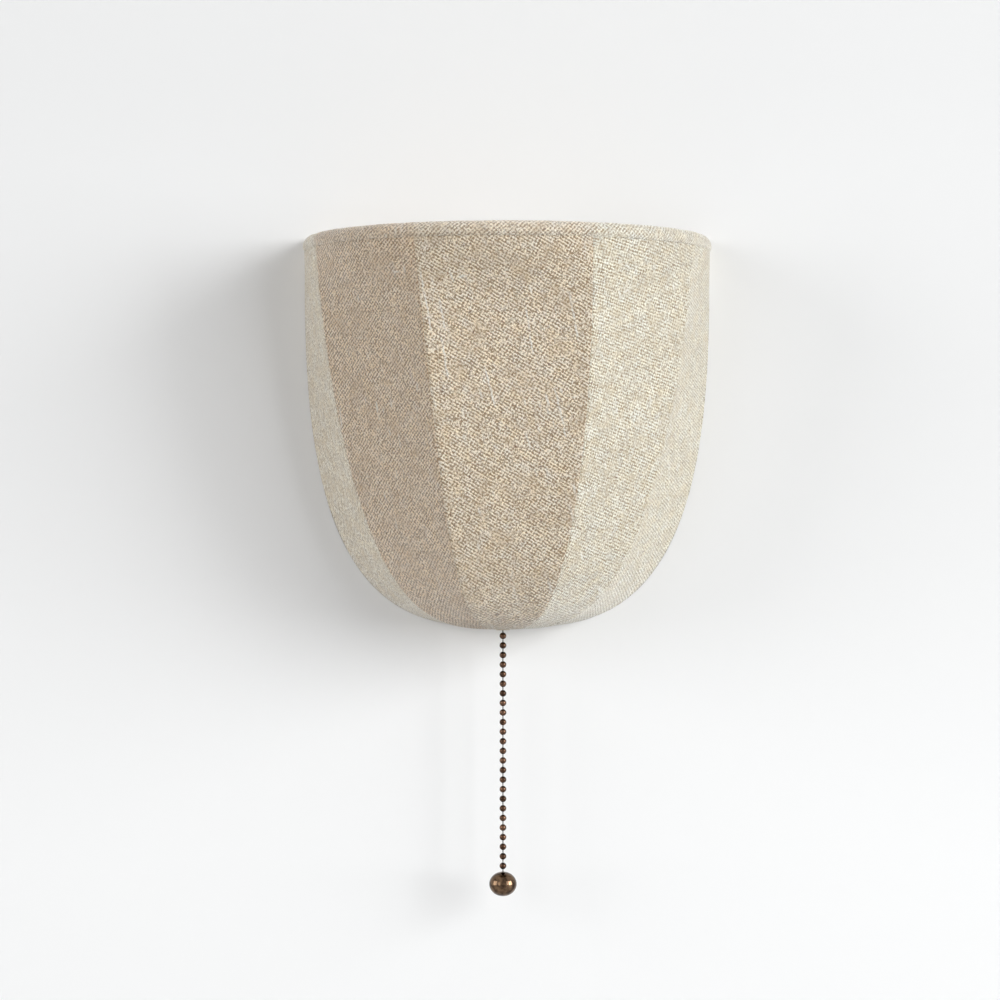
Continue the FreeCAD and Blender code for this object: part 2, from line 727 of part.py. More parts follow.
def lamp_bracket():
    front = LAMP_Y - SHELF_MARGIN
    strip = bent_strip(SWITCH_BRACKET_Y, LAMP_BRACKET_T, BRACKET_TOP_Z, LAMP_SHELF_Z, front)
    hole = upright(0, LAMP_Y, LAMP_SHELF_Z - LAMP_BRACKET_T, LAMP_SHELF_Z, NIPPLE_R)
    return cut_all(strip, hole, *bracket_holes(SWITCH_BRACKET_Y, LAMP_BRACKET_Y))


def switch_bracket():
    front = -HUB_DEPTH - SWITCH_DEPTH / 2 - 2
    strip = bent_strip(CANOPY_FACE_Y, SWITCH_BRACKET_T, BRACKET_TOP_Z, SWITCH_SHELF_Z, front)
    hole = upright(HUB.x, HUB.y, SWITCH_SHELF_Z - SWITCH_BRACKET_T, SWITCH_SHELF_Z, BUSHING_R)
    return cut_all(strip, hole, *bracket_holes(CANOPY_FACE_Y, SWITCH_BRACKET_Y))


def bracket_fasteners():
    inside = CANOPY_FACE_Y + CANOPY_T
    length = inside + NUT_T + 1 - LAMP_BRACKET_Y
    screws = [pan_head(0, z, LAMP_BRACKET_Y, length) for z in BRACKET_SCREW_Z]
    nuts = [hexagon(V(0, inside, z), Y_AXIS, NUT_ACROSS, NUT_T).cut(outwards(0, z, 0, inside, BRACKET_SCREW_R))
            for z in BRACKET_SCREW_Z]
    return Part.makeCompound(screws), Part.makeCompound(nuts)


# Lampholder and bulb

def lampholder():
    low = LAMP_SHELF_Z
    under = low - LAMP_BRACKET_T
    nipple = tube(V(0, LAMP_Y, under - NIPPLE_BELOW), V(0, LAMP_Y, low + NIPPLE_ABOVE), NIPPLE_R, NIPPLE_BORE_R)
    nut = hexagon(V(0, LAMP_Y, under - LOCK_NUT_T), Z_AXIS, LOCK_NUT_ACROSS, LOCK_NUT_T)
    nut = nut.cut(upright(0, LAMP_Y, under - LOCK_NUT_T, under, NIPPLE_R))
    cap_top = low + HOLDER_CAP_H
    cap = turned([
        (NIPPLE_R, low), (HOLDER_R - HOLDER_FOOT_CORNER, low), (HOLDER_R, low + HOLDER_FOOT_CORNER),
        (HOLDER_R, cap_top), (HOLDER_R - HOLDER_T, cap_top), (HOLDER_R - HOLDER_T, low + HOLDER_FOOT_CORNER),
        (HOLDER_R - HOLDER_FOOT_CORNER - HOLDER_T * 0.6, low + HOLDER_T),
        (NIPPLE_R, low + HOLDER_T)], V(0, LAMP_Y, 0))
    bore = HOLDER_R - HOLDER_T
    shell = turned([
        (bore, cap_top), (HOLDER_R, cap_top), (HOLDER_R, HOLDER_TOP_Z - HOLDER_LIP),
        (HOLDER_R - HOLDER_LIP / 2, HOLDER_TOP_Z), (bore, HOLDER_TOP_Z)], V(0, LAMP_Y, 0))
    insulator = upright(0, LAMP_Y, INSULATOR_Z, INSULATOR_Z + INSULATOR_H, bore)
    wires = [upright(x, LAMP_Y, INSULATOR_Z, INSULATOR_Z + INSULATOR_H, LEAD_R + WRAP_GAP)
             for x in (-HOLDER_LEAD_X, HOLDER_LEAD_X)]
    insulator = cut_all(insulator, *wires)
    seat = INSULATOR_Z + INSULATOR_H
    screw_shell = tube(V(0, LAMP_Y, seat), V(0, LAMP_Y, seat + SCREW_SHELL_H), SCREW_SHELL_R,
                       SCREW_SHELL_R - SCREW_SHELL_T)
    contact = upright(0, LAMP_Y, seat, seat + CENTRE_CONTACT_T, CENTRE_CONTACT_R)
    return {
        "lampholder_nipple": nipple,
        "lampholder_nut": nut,
        "lampholder_cap": cap,
        "lampholder_shell": shell,
        "lampholder_insulator": insulator,
        "screw_shell": screw_shell,
        "centre_contact": contact,
    }


def bulb_outline(inset):
    """The bulb's side from the neck up to the top, as joined edges in the XZ plane."""
    neck_r = BULB_CAP_R - BULB_CAP_T - BULB_NECK_GAP - inset
    ball_r = BULB_R - inset
    top_z = GLASS_Z + BULB_LENGTH - inset
    ball_z = GLASS_Z + BULB_LENGTH - BULB_R
    neck = V(neck_r, 0, GLASS_Z + BULB_NECK_H)
    shoulder_angle = math.radians(BULB_SHOULDER_ANGLE)
    shoulder = V(ball_r * math.cos(shoulder_angle), 0, ball_z + ball_r * math.sin(shoulder_angle))
    shoulder_dir = V(-math.sin(shoulder_angle), 0, math.cos(shoulder_angle))
    edges = [Part.LineSegment(V(neck_r, 0, GLASS_Z - BULB_NECK_SUNK), neck).toShape()]
    edges += biarc(neck, Z_AXIS, shoulder, shoulder_dir)
    edges.append(Part.Arc(shoulder, V(ball_r, 0, ball_z), V(0, 0, top_z)).toShape())
    return edges


def bulb_glass():
    outer = bulb_outline(0.0)
    inner = bulb_outline(GLASS_T)
    outer_r = outer[0].Vertexes[0].X
    foot_z = GLASS_Z - BULB_NECK_SUNK
    foot = Part.LineSegment(V(outer_r, 0, foot_z), V(outer_r - GLASS_T, 0, foot_z)).toShape()
    crown_z = GLASS_Z + BULB_LENGTH
    crown = Part.LineSegment(V(0, 0, crown_z), V(0, 0, crown_z - GLASS_T)).toShape()
    section = Part.Face(Part.Wire(Part.sortEdges(outer + [crown] + inner + [foot])[0]))
    return section.revolve(V(0, 0, 0), Z_AXIS, 360).translated(V(0, LAMP_Y, 0))


def bulb():
    axis = V(0, LAMP_Y, 0)
    cap_r, low, top = BULB_CAP_R, BULB_CAP_Z, BULB_CAP_Z + BULB_CAP_H
    cap = turned([
        (BULB_CONTACT_R + 1, low), (cap_r - BULB_CAP_CORNER, low), (cap_r, low + BULB_CAP_CORNER), (cap_r, top),
        (cap_r - BULB_CAP_T, top), (cap_r - BULB_CAP_T, low + BULB_CAP_CORNER + BULB_CAP_T * 0.4),
        (cap_r - BULB_CAP_CORNER - BULB_CAP_T * 0.4, low + BULB_CAP_T),
        (BULB_CONTACT_R + 1, low + BULB_CAP_T)], axis)
    contact = turned([
        (0, BULB_BASE_Z), (BULB_CONTACT_R - 1, BULB_BASE_Z), (BULB_CONTACT_R, BULB_BASE_Z + 0.8),
        (BULB_CONTACT_R + 1, low), (BULB_CONTACT_R + 1, low + BULB_CAP_T), (0, low + BULB_CAP_T)], axis)
    stem_low = low + BULB_CAP_T
    stem_top = GLASS_Z + STEM_H
    stem = turned([
        (0, stem_low), (STEM_R, stem_low), (STEM_R, GLASS_Z), (STEM_R * 0.5, GLASS_Z + STEM_H * 0.4),
        (STEM_R * 0.5, stem_top), (0, stem_top)], axis)
    filaments = []
    for side in (-1, 1):
        start = V(side * STEM_R * 0.3, LAMP_Y, stem_top - 1)
        end = V(side * FILAMENT_SPREAD, LAMP_Y, stem_top + FILAMENT_H)
        filaments.append(rod(start, end, FILAMENT_R))
    return {
        "bulb_cap": cap,
        "bulb_contact": contact,
        "bulb_glass": bulb_glass(),
        "bulb_stem": stem.fuse(filaments),
    }


# Pull switch

def switch_block(inset, low, high):
    block = box(V(HUB.x - SWITCH_LEFT + inset, HUB.y - SWITCH_DEPTH / 2 + inset, low),
                V(SWITCH_RIGHT - inset, HUB.y + SWITCH_DEPTH / 2 - inset, high))
    upright_edges = [e for e in block.Edges if abs(e.tangentAt(0).z) > 0.9]
    return block.makeFillet(max(SWITCH_CORNER_R - inset, 0.5), upright_edges)


def switch_axle():
    reach = SWITCH_DEPTH / 2 - SWITCH_WALL + AXLE_SEAT
    return outwards(DRUM_X, DRUM_Z, -HUB_DEPTH + reach, -HUB_DEPTH - reach, AXLE_R)


def switch_housing(axle, contacts):
    """A cup below the axle's height and a lid above it, which hold the axle between them."""
    low, high = SWITCH_SHELF_Z, SWITCH_TOP_Z
    hollow = switch_block(SWITCH_WALL, low + SWITCH_WALL, high - SWITCH_WALL)
    bushing_hole = upright(HUB.x, HUB.y, low, low + SWITCH_WALL, BUSHING_R)
    base = cut_all(switch_block(0, low, DRUM_Z), hollow, axle, bushing_hole)
    cover = cut_all(switch_block(0, DRUM_Z, high), hollow, axle, contacts)
    return base, cover


def rotor_y():
    """The middle of the contact rotor's thickness, on the room side of the drum."""
    return -HUB_DEPTH - DRUM_GROOVE / 2 - DRUM_FLANGE - ROTOR_GAP - ROTOR_T / 2


def switch_bushing():
    """A threaded tube through the shelf, with a flange inside and a bell mouth for the chain below."""
    flange_z = SWITCH_SHELF_Z + SWITCH_WALL
    end = SWITCH_SHELF_Z - BUSHING_BELOW
    wall = BUSHING_R - BUSHING_BORE_R
    return turned([
        (BUSHING_BORE_R, flange_z + BUSHING_FLANGE_T),
        (BUSHING_FLANGE_R, flange_z + BUSHING_FLANGE_T),
        (BUSHING_FLANGE_R, flange_z),
        (BUSHING_R, flange_z),
        (BUSHING_R, end + BELL_H),
        (BUSHING_R + BELL_FLARE, end),
        (BUSHING_BORE_R + wall * 0.6, end),
        (BUSHING_BORE_R, end + BELL_H)], HUB)


def switch_nut():
    top = SWITCH_SHELF_Z - SWITCH_BRACKET_T
    nut = hexagon(HUB + V(0, 0, top - RING_NUT_T), Z_AXIS, RING_NUT_ACROSS, RING_NUT_T)
    return nut.cut(upright(HUB.x, HUB.y, top - RING_NUT_T, top, BUSHING_R))


def pull_drum():
    half = DRUM_GROOVE / 2
    bore = AXLE_R + AXLE_CLEARANCE
    edge = half + DRUM_FLANGE
    return turned([
        (bore, -edge), (DRUM_R, -edge), (DRUM_R, -half), (DRUM_CORE_R, -half), (DRUM_CORE_R, half),
        (DRUM_R, half), (DRUM_R, edge), (bore, edge)], V(DRUM_X, -HUB_DEPTH, DRUM_Z), Y_AXIS)


def contact_rotor():
    """A disc with four notches, one for each quarter turn."""
    y = rotor_y()
    disc = outwards(DRUM_X, DRUM_Z, y + ROTOR_T / 2, y - ROTOR_T / 2, ROTOR_R)
    notches = []
    for i in range(4):
        angle = math.radians(45 + 90 * i)
        x = DRUM_X + (ROTOR_R + ROTOR_NOTCH_R * 0.4) * math.cos(angle)
        z = DRUM_Z + (ROTOR_R + ROTOR_NOTCH_R * 0.4) * math.sin(angle)
        notches.append(outwards(x, z, y + ROTOR_T / 2, y - ROTOR_T / 2, ROTOR_NOTCH_R))
    bore = outwards(DRUM_X, DRUM_Z, y + ROTOR_T / 2, y - ROTOR_T / 2, AXLE_R + AXLE_CLEARANCE)
    return cut_all(disc, bore, *notches)


def switch_contacts():
    """A blade on each side of the rotor, up through the lid to a solder tail."""
    y = rotor_y()
    blades = []
    for side in (-1, 1):
        near = DRUM_X + side * (ROTOR_R + ROTOR_GAP)
        far = near + side * CONTACT_T
        blades.append(box(V(min(near, far), y - ROTOR_T / 2, DRUM_Z),
                          V(max(near, far), y + ROTOR_T / 2, SWITCH_TOP_Z + CONTACT_TAIL)))
    return blades


def return_spring():
    """A torsion coil round the axle, on the wall side of the drum."""
    start_y = -HUB_DEPTH + DRUM_GROOVE / 2 + DRUM_FLANGE + ROTOR_GAP + SPRING_WIRE_R
    quarter = SPRING_PITCH / 4
    slope = SPRING_PITCH / (2 * math.pi * SPRING_R)

    def station(i):
        angle = math.pi / 2 * i
        point = V(DRUM_X + SPRING_R * math.cos(angle), start_y + quarter * i, DRUM_Z + SPRING_R * math.sin(angle))
        return point, V(-math.sin(angle), slope, math.cos(angle)).normalize()

    edges = []
    for i in range(4 * SPRING_TURN_COUNT):
        p0, d0 = station(i)
        p1, d1 = station(i + 1)
        edges += biarc(p0, d0, p1, d1)
    print("spring gap between turns %.2f" % (SPRING_PITCH - 2 * SPRING_WIRE_R))
    return swept(edges, SPRING_WIRE_R)


# Ball chain

def bead_z(number):
    """The height of a bead's centre: 0 is the first below the eyelet, and higher numbers hang lower."""
    return FIRST_BEAD_Z - number * BEAD_PITCH


def bead(number):
    z = bead_z(number)
    hole = LINK_R + LINK_HOLE_CLEARANCE
    centre = HUB + V(0, 0, z)
    shell = Part.makeSphere(BEAD_R, centre).cut(Part.makeSphere(BEAD_R - BEAD_WALL, centre))
    return shell.cut(upright(HUB.x, HUB.y, z - BEAD_R, z + BEAD_R, hole))


def link(number, top=None, bottom=None):
    """The wire from one bead to the next, with a round head inside each."""
    upper = bead_z(number) - BEAD_R + BEAD_WALL + LINK_HEAD_R / 2
    lower = bead_z(number + 1) + BEAD_R - BEAD_WALL - LINK_HEAD_R / 2
    wire = upright(HUB.x, HUB.y, lower if bottom is None else bottom, upper if top is None else top, LINK_R)
    heads = []
    if top is None:
        heads.append(Part.makeSphere(LINK_HEAD_R, HUB + V(0, 0, upper + LINK_HEAD_R * 0.6)))
    if bottom is None:
        heads.append(Part.makeSphere(LINK_HEAD_R, HUB + V(0, 0, lower - LINK_HEAD_R * 0.6)))
    return wire.fuse(heads)


def pivot_link(number):
    """A link that stops just under the bead that it swings from."""
    return link(number, top=bead_z(number) - BEAD_R - PIVOT_GAP)


def chains():
    """The upper chain runs in the light, the swivel is the first free bead, and the lower chain hangs."""
    upper = [bead(i) for i in range(-BEADS_INSIDE, 1)] + [link(i) for i in range(-BEADS_INSIDE, 0)]
    swivel = [pivot_link(0), bead(1)]
    last = SHOWN_BEAD_COUNT - 1
    lower = [pivot_link(1)] + [bead(i) for i in range(2, last + 1)] + [link(i) for i in range(2, last)]
    knob_top = bead_z(last) - BEAD_R - KNOB_GAP
    lower.append(link(last, bottom=knob_top - KNOB_BORE_DEPTH))
    return {
        "upper_chain": Part.makeCompound(upper),
        "swivel_bead": Part.makeCompound(swivel),
        "lower_chain": Part.makeCompound(lower),
        "pull_knob": pull_knob(knob_top),
    }


def pull_knob(top_z):
    ball = Part.makeSphere(KNOB_WIDTH / 2)
    squash = FreeCAD.Matrix()
    squash.scale(1, 1, KNOB_HEIGHT / KNOB_WIDTH)
    ball = ball.transformGeometry(squash)
    ball = ball.translated(HUB + V(0, 0, top_z - KNOB_HEIGHT / 2))
    return ball.cut(upright(HUB.x, HUB.y, top_z - KNOB_BORE_DEPTH, top_z + 1, KNOB_BORE_R))


# Wiring

def block_pole_x(pole):
    return (pole - (BLOCK_POLE_COUNT - 1) / 2) * BLOCK_WIDTH / BLOCK_POLE_COUNT


def terminal_block():
    """A three-pole block against the canopy's inside, wired from below, with a screw in each pole."""
    front = CANOPY_FACE_Y + CANOPY_T
    back = front + BLOCK_DEPTH
    middle_y = (front + back) / 2
    low, high = BLOCK_Z - BLOCK_HEIGHT / 2, BLOCK_Z + BLOCK_HEIGHT / 2
    block = box(V(-BLOCK_WIDTH / 2, front, low), V(BLOCK_WIDTH / 2, back, high))
    screws = []
    for pole in range(BLOCK_POLE_COUNT):
        x = block_pole_x(pole)
        block = block.cut(upright(x, middle_y, low, high, BLOCK_BORE_R))
        block = block.cut(outwards(x, BLOCK_Z, back, middle_y + BLOCK_BORE_R, BLOCK_SCREW_R))
        screws.append(outwards(x, BLOCK_Z, back - 0.5, middle_y + LEAD_R, BLOCK_SCREW_R))
    block = cut_all(block, *screws)
    return block, Part.makeCompound(screws), V(0, middle_y, low)


def grommet():
    face, inside = CANOPY_FACE_Y, CANOPY_FACE_Y + CANOPY_T
    neck = GROMMET_BORE_R + GROMMET_WALL
    lip = neck + GROMMET_LIP
    return turned([
        (GROMMET_BORE_R, -GROMMET_WALL), (lip, -GROMMET_WALL), (lip, 0), (neck, 0), (neck, inside - face),
        (lip, inside - face), (lip, inside - face + GROMMET_WALL), (GROMMET_BORE_R, inside - face + GROMMET_WALL)],
        V(GROMMET_X, face, GROMMET_Z), Y_AXIS)


def leads(block_corner):
    """Each lead runs from the terminal block down inside the canopy and out through the grommet."""
    inside_y = block_corner.y
    foot = block_corner.z + BLOCK_HEIGHT * 0.4
    lane = LEAD_R * 1.35
    out_y = LAMP_BRACKET_Y - 6
    contact_z = SWITCH_TOP_Z + CONTACT_TAIL
    tail_left = V(DRUM_X - ROTOR_R - ROTOR_GAP, rotor_y(), contact_z)
    tail_right = V(DRUM_X + ROTOR_R + ROTOR_GAP, rotor_y(), contact_z)
    holder_top = INSULATOR_Z + INSULATOR_H
    under_shelf = LAMP_SHELF_Z - LAMP_BRACKET_T - 2.5 * LEAD_R
    under_nipple = LAMP_SHELF_Z - LAMP_BRACKET_T - NIPPLE_BELOW - 9
    hole = V(GROMMET_X, 0, GROMMET_Z)

    def start(pole):
        return [V(block_pole_x(pole), inside_y, foot), V(block_pole_x(pole), inside_y, block_corner.z - 6)]

    live = start(1) + [
        V(hole.x - 5, inside_y, 6),
        V(hole.x - lane, inside_y, hole.z - lane),
        V(hole.x - lane, out_y, hole.z - lane),
        V(BRACKET_WIDTH / 2 + 3.5, tail_right.y + 2, under_shelf),
        V(tail_right.x, tail_right.y, contact_z + 4.5),
        tail_right,
    ]
    neutral = start(2) + [
        V(hole.x, inside_y, 4),
        V(hole.x + lane, inside_y, hole.z - lane),
        V(hole.x + lane, out_y, hole.z - lane),
        V(hole.x - 1, LAMP_Y + 20, under_nipple + 8),
        V(HOLDER_LEAD_X + 5, LAMP_Y + 3, under_nipple + 1),
        V(HOLDER_LEAD_X, LAMP_Y, under_nipple + 1),
        V(HOLDER_LEAD_X, LAMP_Y, holder_top - INSULATOR_H / 2),
    ]
    switched = [
        tail_left,
        V(tail_left.x, tail_left.y, under_shelf),
        V(-HOLDER_LEAD_X, LAMP_Y + 15, under_shelf - 1),
        V(-HOLDER_LEAD_X, LAMP_Y + 6, under_nipple),
        V(-HOLDER_LEAD_X, LAMP_Y, under_nipple),
        V(-HOLDER_LEAD_X, LAMP_Y, holder_top),
    ]
    ground = [
        V(block_pole_x(0), inside_y, foot),
        V(block_pole_x(0), inside_y, block_corner.z - 6),
        V(GROUND_SCREW_X, -STRAP_T - SCREW_HEAD_T - LEAD_R, STRAP_H / 2 - 1),
        V(GROUND_SCREW_X, -STRAP_T - SCREW_HEAD_T - LEAD_R, 0),
    ]
    return {
        "live_lead": lead(live),
        "neutral_lead": lead(neutral),
        "switched_lead": lead(switched),
        "ground_lead": lead(ground),
    }


def build():
    ring = rim_ring()
    edge_wire = wall_edge_wire()
    top_wire, strut = back_wires(edge_wire)
    ribs = frame_ribs(ring)
    axle = switch_axle()
    contacts = switch_contacts()
    base, cover = switch_housing(axle, Part.makeCompound(contacts))
    screws, nuts = bracket_fasteners()
    block, block_screws, block_corner = terminal_block()
    nodes = {
        "rim_ring": ring,
        "wall_edge_wire": edge_wire,
        "top_back_wire": top_wire,
        "hub_strut": strut,
        "hub_ring": hub_ring(),
        "inner_ribs": Part.makeCompound(ribs[1:-1]),
        "outer_ribs": Part.makeCompound([ribs[0], ribs[-1]]),
        "shade_bar": shade_bar(edge_wire),
        "rim_binding": rim_binding(),
        "eyelet": eyelet(),
        "mounting_strap": mounting_strap(),
        "ground_screw": pan_head(GROUND_SCREW_X, 0, -STRAP_T, STRAP_T),
        "canopy": canopy(),
        "canopy_grommet": grommet(),
        "fixture_studs": fixture_studs(),
        "cap_nuts": cap_nuts(),
        "lamp_bracket": lamp_bracket(),
        "switch_bracket": switch_bracket(),
        "bracket_screws": screws,
        "bracket_nuts": nuts,
        "terminal_block": block,
        "terminal_screws": block_screws,
        "switch_base": base,
        "switch_cover": cover,
        "switch_bushing": switch_bushing(),
        "switch_nut": switch_nut(),
        "switch_axle": axle,
        "pull_drum": pull_drum(),
        "contact_rotor": contact_rotor(),
        "switch_contacts": Part.makeCompound(contacts),
        "return_spring": return_spring(),
    }
    nodes.update(gores())
    nodes.update(lampholder())
    nodes.update(bulb())
    nodes.update(chains())
    nodes.update(leads(block_corner))
    return nodes


def main():
    os.makedirs("parts", exist_ok=True)
    for name, shape in build().items():
        if not shape.isValid():
            print("not valid:", name)
        print("%-22s %2d solids %10.1f mm3" % (name, len(shape.Solids), shape.Volume))
        shape.exportStep("parts/%s.step" % name)


main()
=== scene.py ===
"""Half-bowl linen wall light with a pull chain: its cloth, chain, finishes, light and camera.

Metres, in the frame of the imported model: the wall is the plane Y = 0, the light stands out
towards -Y, +Z is up and +X is to the right for someone facing the wall.
"""
import json
import math
import random

import bpy
import numpy as np
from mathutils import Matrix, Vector


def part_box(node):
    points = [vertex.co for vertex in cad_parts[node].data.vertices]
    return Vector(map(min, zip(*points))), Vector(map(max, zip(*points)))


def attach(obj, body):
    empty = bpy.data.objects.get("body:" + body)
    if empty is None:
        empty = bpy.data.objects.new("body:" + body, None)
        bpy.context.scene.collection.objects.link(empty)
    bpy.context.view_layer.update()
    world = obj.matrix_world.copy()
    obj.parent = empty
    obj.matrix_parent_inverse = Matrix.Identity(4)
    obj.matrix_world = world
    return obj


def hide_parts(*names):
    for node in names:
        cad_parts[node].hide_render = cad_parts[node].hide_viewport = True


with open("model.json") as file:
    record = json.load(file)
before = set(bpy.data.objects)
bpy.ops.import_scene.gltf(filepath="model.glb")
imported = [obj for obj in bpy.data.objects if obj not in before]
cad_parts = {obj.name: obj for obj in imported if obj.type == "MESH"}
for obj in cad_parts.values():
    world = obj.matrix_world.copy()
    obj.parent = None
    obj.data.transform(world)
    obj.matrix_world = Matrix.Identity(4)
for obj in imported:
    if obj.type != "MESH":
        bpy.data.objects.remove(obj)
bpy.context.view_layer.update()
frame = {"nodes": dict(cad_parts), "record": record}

MM = 0.001

# Camera: level, at the photograph's distance from the wall
CAMERA_PLACE = Vector((-4.4 * MM, -1870 * MM, -63 * MM))
CAMERA_SENSOR_MM = 36.0
CAMERA_LENS_MM = 108.1
CAMERA_NEAR, CAMERA_FAR = 0.01, 100

# Light: large lamps far off, which keep the wall even, and a faint world. A lamp's azimuth is 0 straight in
# front of the wall and 90 to its right
LAMP_TARGET = Vector((0, -60 * MM, -30 * MM))
LAMP_DISTANCE = 8.0
LAMP_HEIGHT = 5.0
KEY_COLOUR = (0.985, 1.0, 1.01)
PLAIN_COLOUR = (1, 1, 1)
LAMPS = {
    "key": {"azimuth": 47, "elevation": 15, "width": 4.0, "power": 245.0, "colour": KEY_COLOUR},
    "right_window": {"azimuth": 67, "elevation": 11, "width": 4.0, "power": 505.0, "colour": KEY_COLOUR},
    "left_window": {"azimuth": -72, "elevation": 10, "width": 5.0, "power": 290.0, "colour": PLAIN_COLOUR},
    "left_panel": {"azimuth": -35, "elevation": 10, "width": 3.0, "power": 60.0, "colour": PLAIN_COLOUR},
}
BACK_LAMP = {"azimuth": 180, "elevation": 35, "width": 1.2, "power": 12.0, "colour": PLAIN_COLOUR}
BACK_LAMP_DISTANCE = 1.6
BACK_LAMP_HEIGHT = 1.2
WORLD_COLOUR = (1.0, 0.995, 0.98)
WORLD_SEEN = 0.95

# The world's strength straight in front of the wall and elsewhere, and the Y of the directions where each
# begins
WORLD_FRONT, WORLD_SIDES = 0.05, 0.41
WORLD_FRONT_EDGE, WORLD_SIDES_EDGE = -0.95, -0.7

# Room
WALL_WIDTH = 8.0
WALL_HEIGHT = 6.0
FLOOR_Z = -1.1
FLOOR_DEPTH = 6.0
FLOOR_PALE, FLOOR_DULL = (0.86, 0.86, 0.86), (0.84, 0.84, 0.84)
FLOOR_BOUNCE = (0.3, 0.3, 0.3)
FLOOR_CLOUD_SCALE = 60.0
WALL_BEHIND = 0.15 * MM
# The wall's paint is lighter towards the bottom: painted light
WALL_LOW_Z, WALL_HIGH_Z = -0.28, 0.20
WALL_LOW_COLOUR, WALL_HIGH_COLOUR = (0.925, 0.925, 0.925), (0.84, 0.84, 0.84)
WALL_GRAIN_SCALE, WALL_GRAIN = 900.0, 0.01 * MM

# Shade, from the frame
RIM_LOW, RIM_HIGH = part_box("rim_binding")
EYELET_LOW, EYELET_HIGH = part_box("eyelet")
SHADE_R = RIM_HIGH.x
RIM_TOP_Z = RIM_HIGH.z
RIM_FOOT_Z = RIM_LOW.z
BOTTOM_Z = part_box("far_left_gore")[0].z
HUB = Vector(((EYELET_LOW.x + EYELET_HIGH.x) / 2, (EYELET_LOW.y + EYELET_HIGH.y) / 2, 0))
CLOTH_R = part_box("far_right_gore")[1].x
WALL_GAP = -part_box("far_left_gore")[1].y
CLOTH_T = 0.8 * MM
BINDING_T = 0.9 * MM
ROLL_R = 5.0 * MM
RIM_WIRE_Z = RIM_TOP_Z - ROLL_R
RIM_PATH_R = SHADE_R - ROLL_R
EYELET_ROOM = 3.2 * MM

# Side curves of the cloth: each rib's azimuth at the rim, and how far its middle bows to the right
RIBS = ((-67.1, 0.0), (-26.0, 6.4 * MM), (23.4, 3.6 * MM), (63.0, 0.0))
EDGE_UPPER, EDGE_LOWER = 3.0, 3.0
RIB_UPPER, RIB_LOWER = 1.4, 3.2
FLATTEN_DEPTH = 28 * MM
CURVE_SAMPLES = 4000

# Smooth noise for the meshes
NOISE_WAVES = 9
NOISE_SPREAD = (0.6, 1.7)

# Cloth mesh
GORE_ROWS = 150
GORE_ROW_POWER = 1.12
GORE_MIDDLE_COLUMNS = 26
SEAM_COLUMNS = (0.0, 0.35 * MM, 0.8 * MM, 1.4 * MM, 2.1 * MM, 3.0 * MM, 4.2 * MM, 6.0 * MM)
CREASE_R = 5.5 * MM
SEAM_DIP = 0.05 * MM
RIPPLE, RIPPLE_PITCH, RIPPLE_SEED = 0.22 * MM, 42 * MM, 11
PUCKER, PUCKER_PITCH, PUCKER_SEED = 0.06 * MM, 9 * MM, 31
PUCKER_COLUMN, PUCKER_SPREAD = 7, 3.0
CALM_COLUMNS, CALM_ROWS = 8, 6

# Each panel's name, whether it was cut from the cloth's other side, how many degrees off the straight grain,
# how pale its cloth is beside the material's own colours, partly painted light (the far panels are paler as
# painted sheen, and each level is set to how the light falls on that panel), and its weight of painted light,
# from 0 for the warmer, deeper colour of painted shade to 1 for the cooler, paler colour of painted light
PANELS = (
    ("far_left", True, -5.0, 1.25, 0.8),
    ("left", True, -5.0, 1.16, 0.0),
    ("front", False, -14.0, 1.1, 0.4),
    ("right", False, -33.0, 1.05, 0.95),
    ("far_right", False, -33.0, 1.14, 1.0),
)

# Thick pale yarns that show in the front panel: the x and z of each one's start and end, in millimetres
LONG_SLUBS = (
    (-51.7, 74.4, -44.2, 33.4),
    (-40.5, 57.0, -36.4, 36.0),
    (-39.0, 34.0, -35.0, 8.0),
    (10.4, 52.0, 15.1, 21.0),
    (27.5, 4.0, 35.2, -28.0),
    (-13.3, 16.0, -7.1, -9.0),
    (36.0, 60.0, 41.5, 30.0),
)
SLUB_HALF_WIDTH = 0.75 * MM
SLUB_WANDER, SLUB_WANDER_SCALE = 1.2 * MM, 210.0
SLUB_TAPER = 0.12
SLUB_CROSS_SCALE, SLUB_CROSSINGS, SLUB_CROSSED = 520.0, (0.38, 0.55), 0.25

# Binding
BINDING_FOOT_T = 0.05 * MM
BINDING_FOOT_ROOM = 0.1 * MM
BINDING_CROWN = 6.5 * MM
BINDING_TAPER = 1.5
BINDING_LEG_POINTS, BINDING_CROWN_POINTS, BINDING_STEPS = 7, 29, 241
BINDING_LUMPS, BINDING_LUMP_PITCH, BINDING_LUMP_SEED = 0.12 * MM, 16 * MM, 71
BINDING_SINK = 0.1 * MM
BINDING_BLEND = 2.5
BINDING_TONE = 0.98

# Chain, from the frame
BEAD_R = 2.1 * MM
BEAD_PITCH = 5.88 * MM
FIRST_BEAD_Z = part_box("upper_chain")[0].z + BEAD_R
INSIDE_BEADS = 12
SHOWN_BEADS = 25
BEAD_HOLE_R = 0.5 * MM
BEAD_HOLE_DEPTH = 0.45 * MM
BEAD_HOLE_TAPER = 0.9
BEAD_RINGS, BEAD_SIDES = 19, 28
BEAD_SEED = 5
LINK_R = 0.3 * MM
LINK_WAIST = 0.9
LINK_OVERLAP = 0.3 * MM
PIVOT_ROOM = 0.05 * MM
KNOB_LOW, KNOB_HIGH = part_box("pull_knob")
KNOB_HOLE_R = 0.6 * MM
KNOB_HOLE_DEPTH = 2 * MM
KNOB_LINK_DEPTH = 3 * MM
KNOB_LIP_HEIGHT, KNOB_LIP_TURN = 0.985, 1.4
KNOB_RINGS, KNOB_SIDES = 60, 96
KNOB_TIP_R, KNOB_TIP_TURN = 0.01 * MM, 0.001


# Meshes

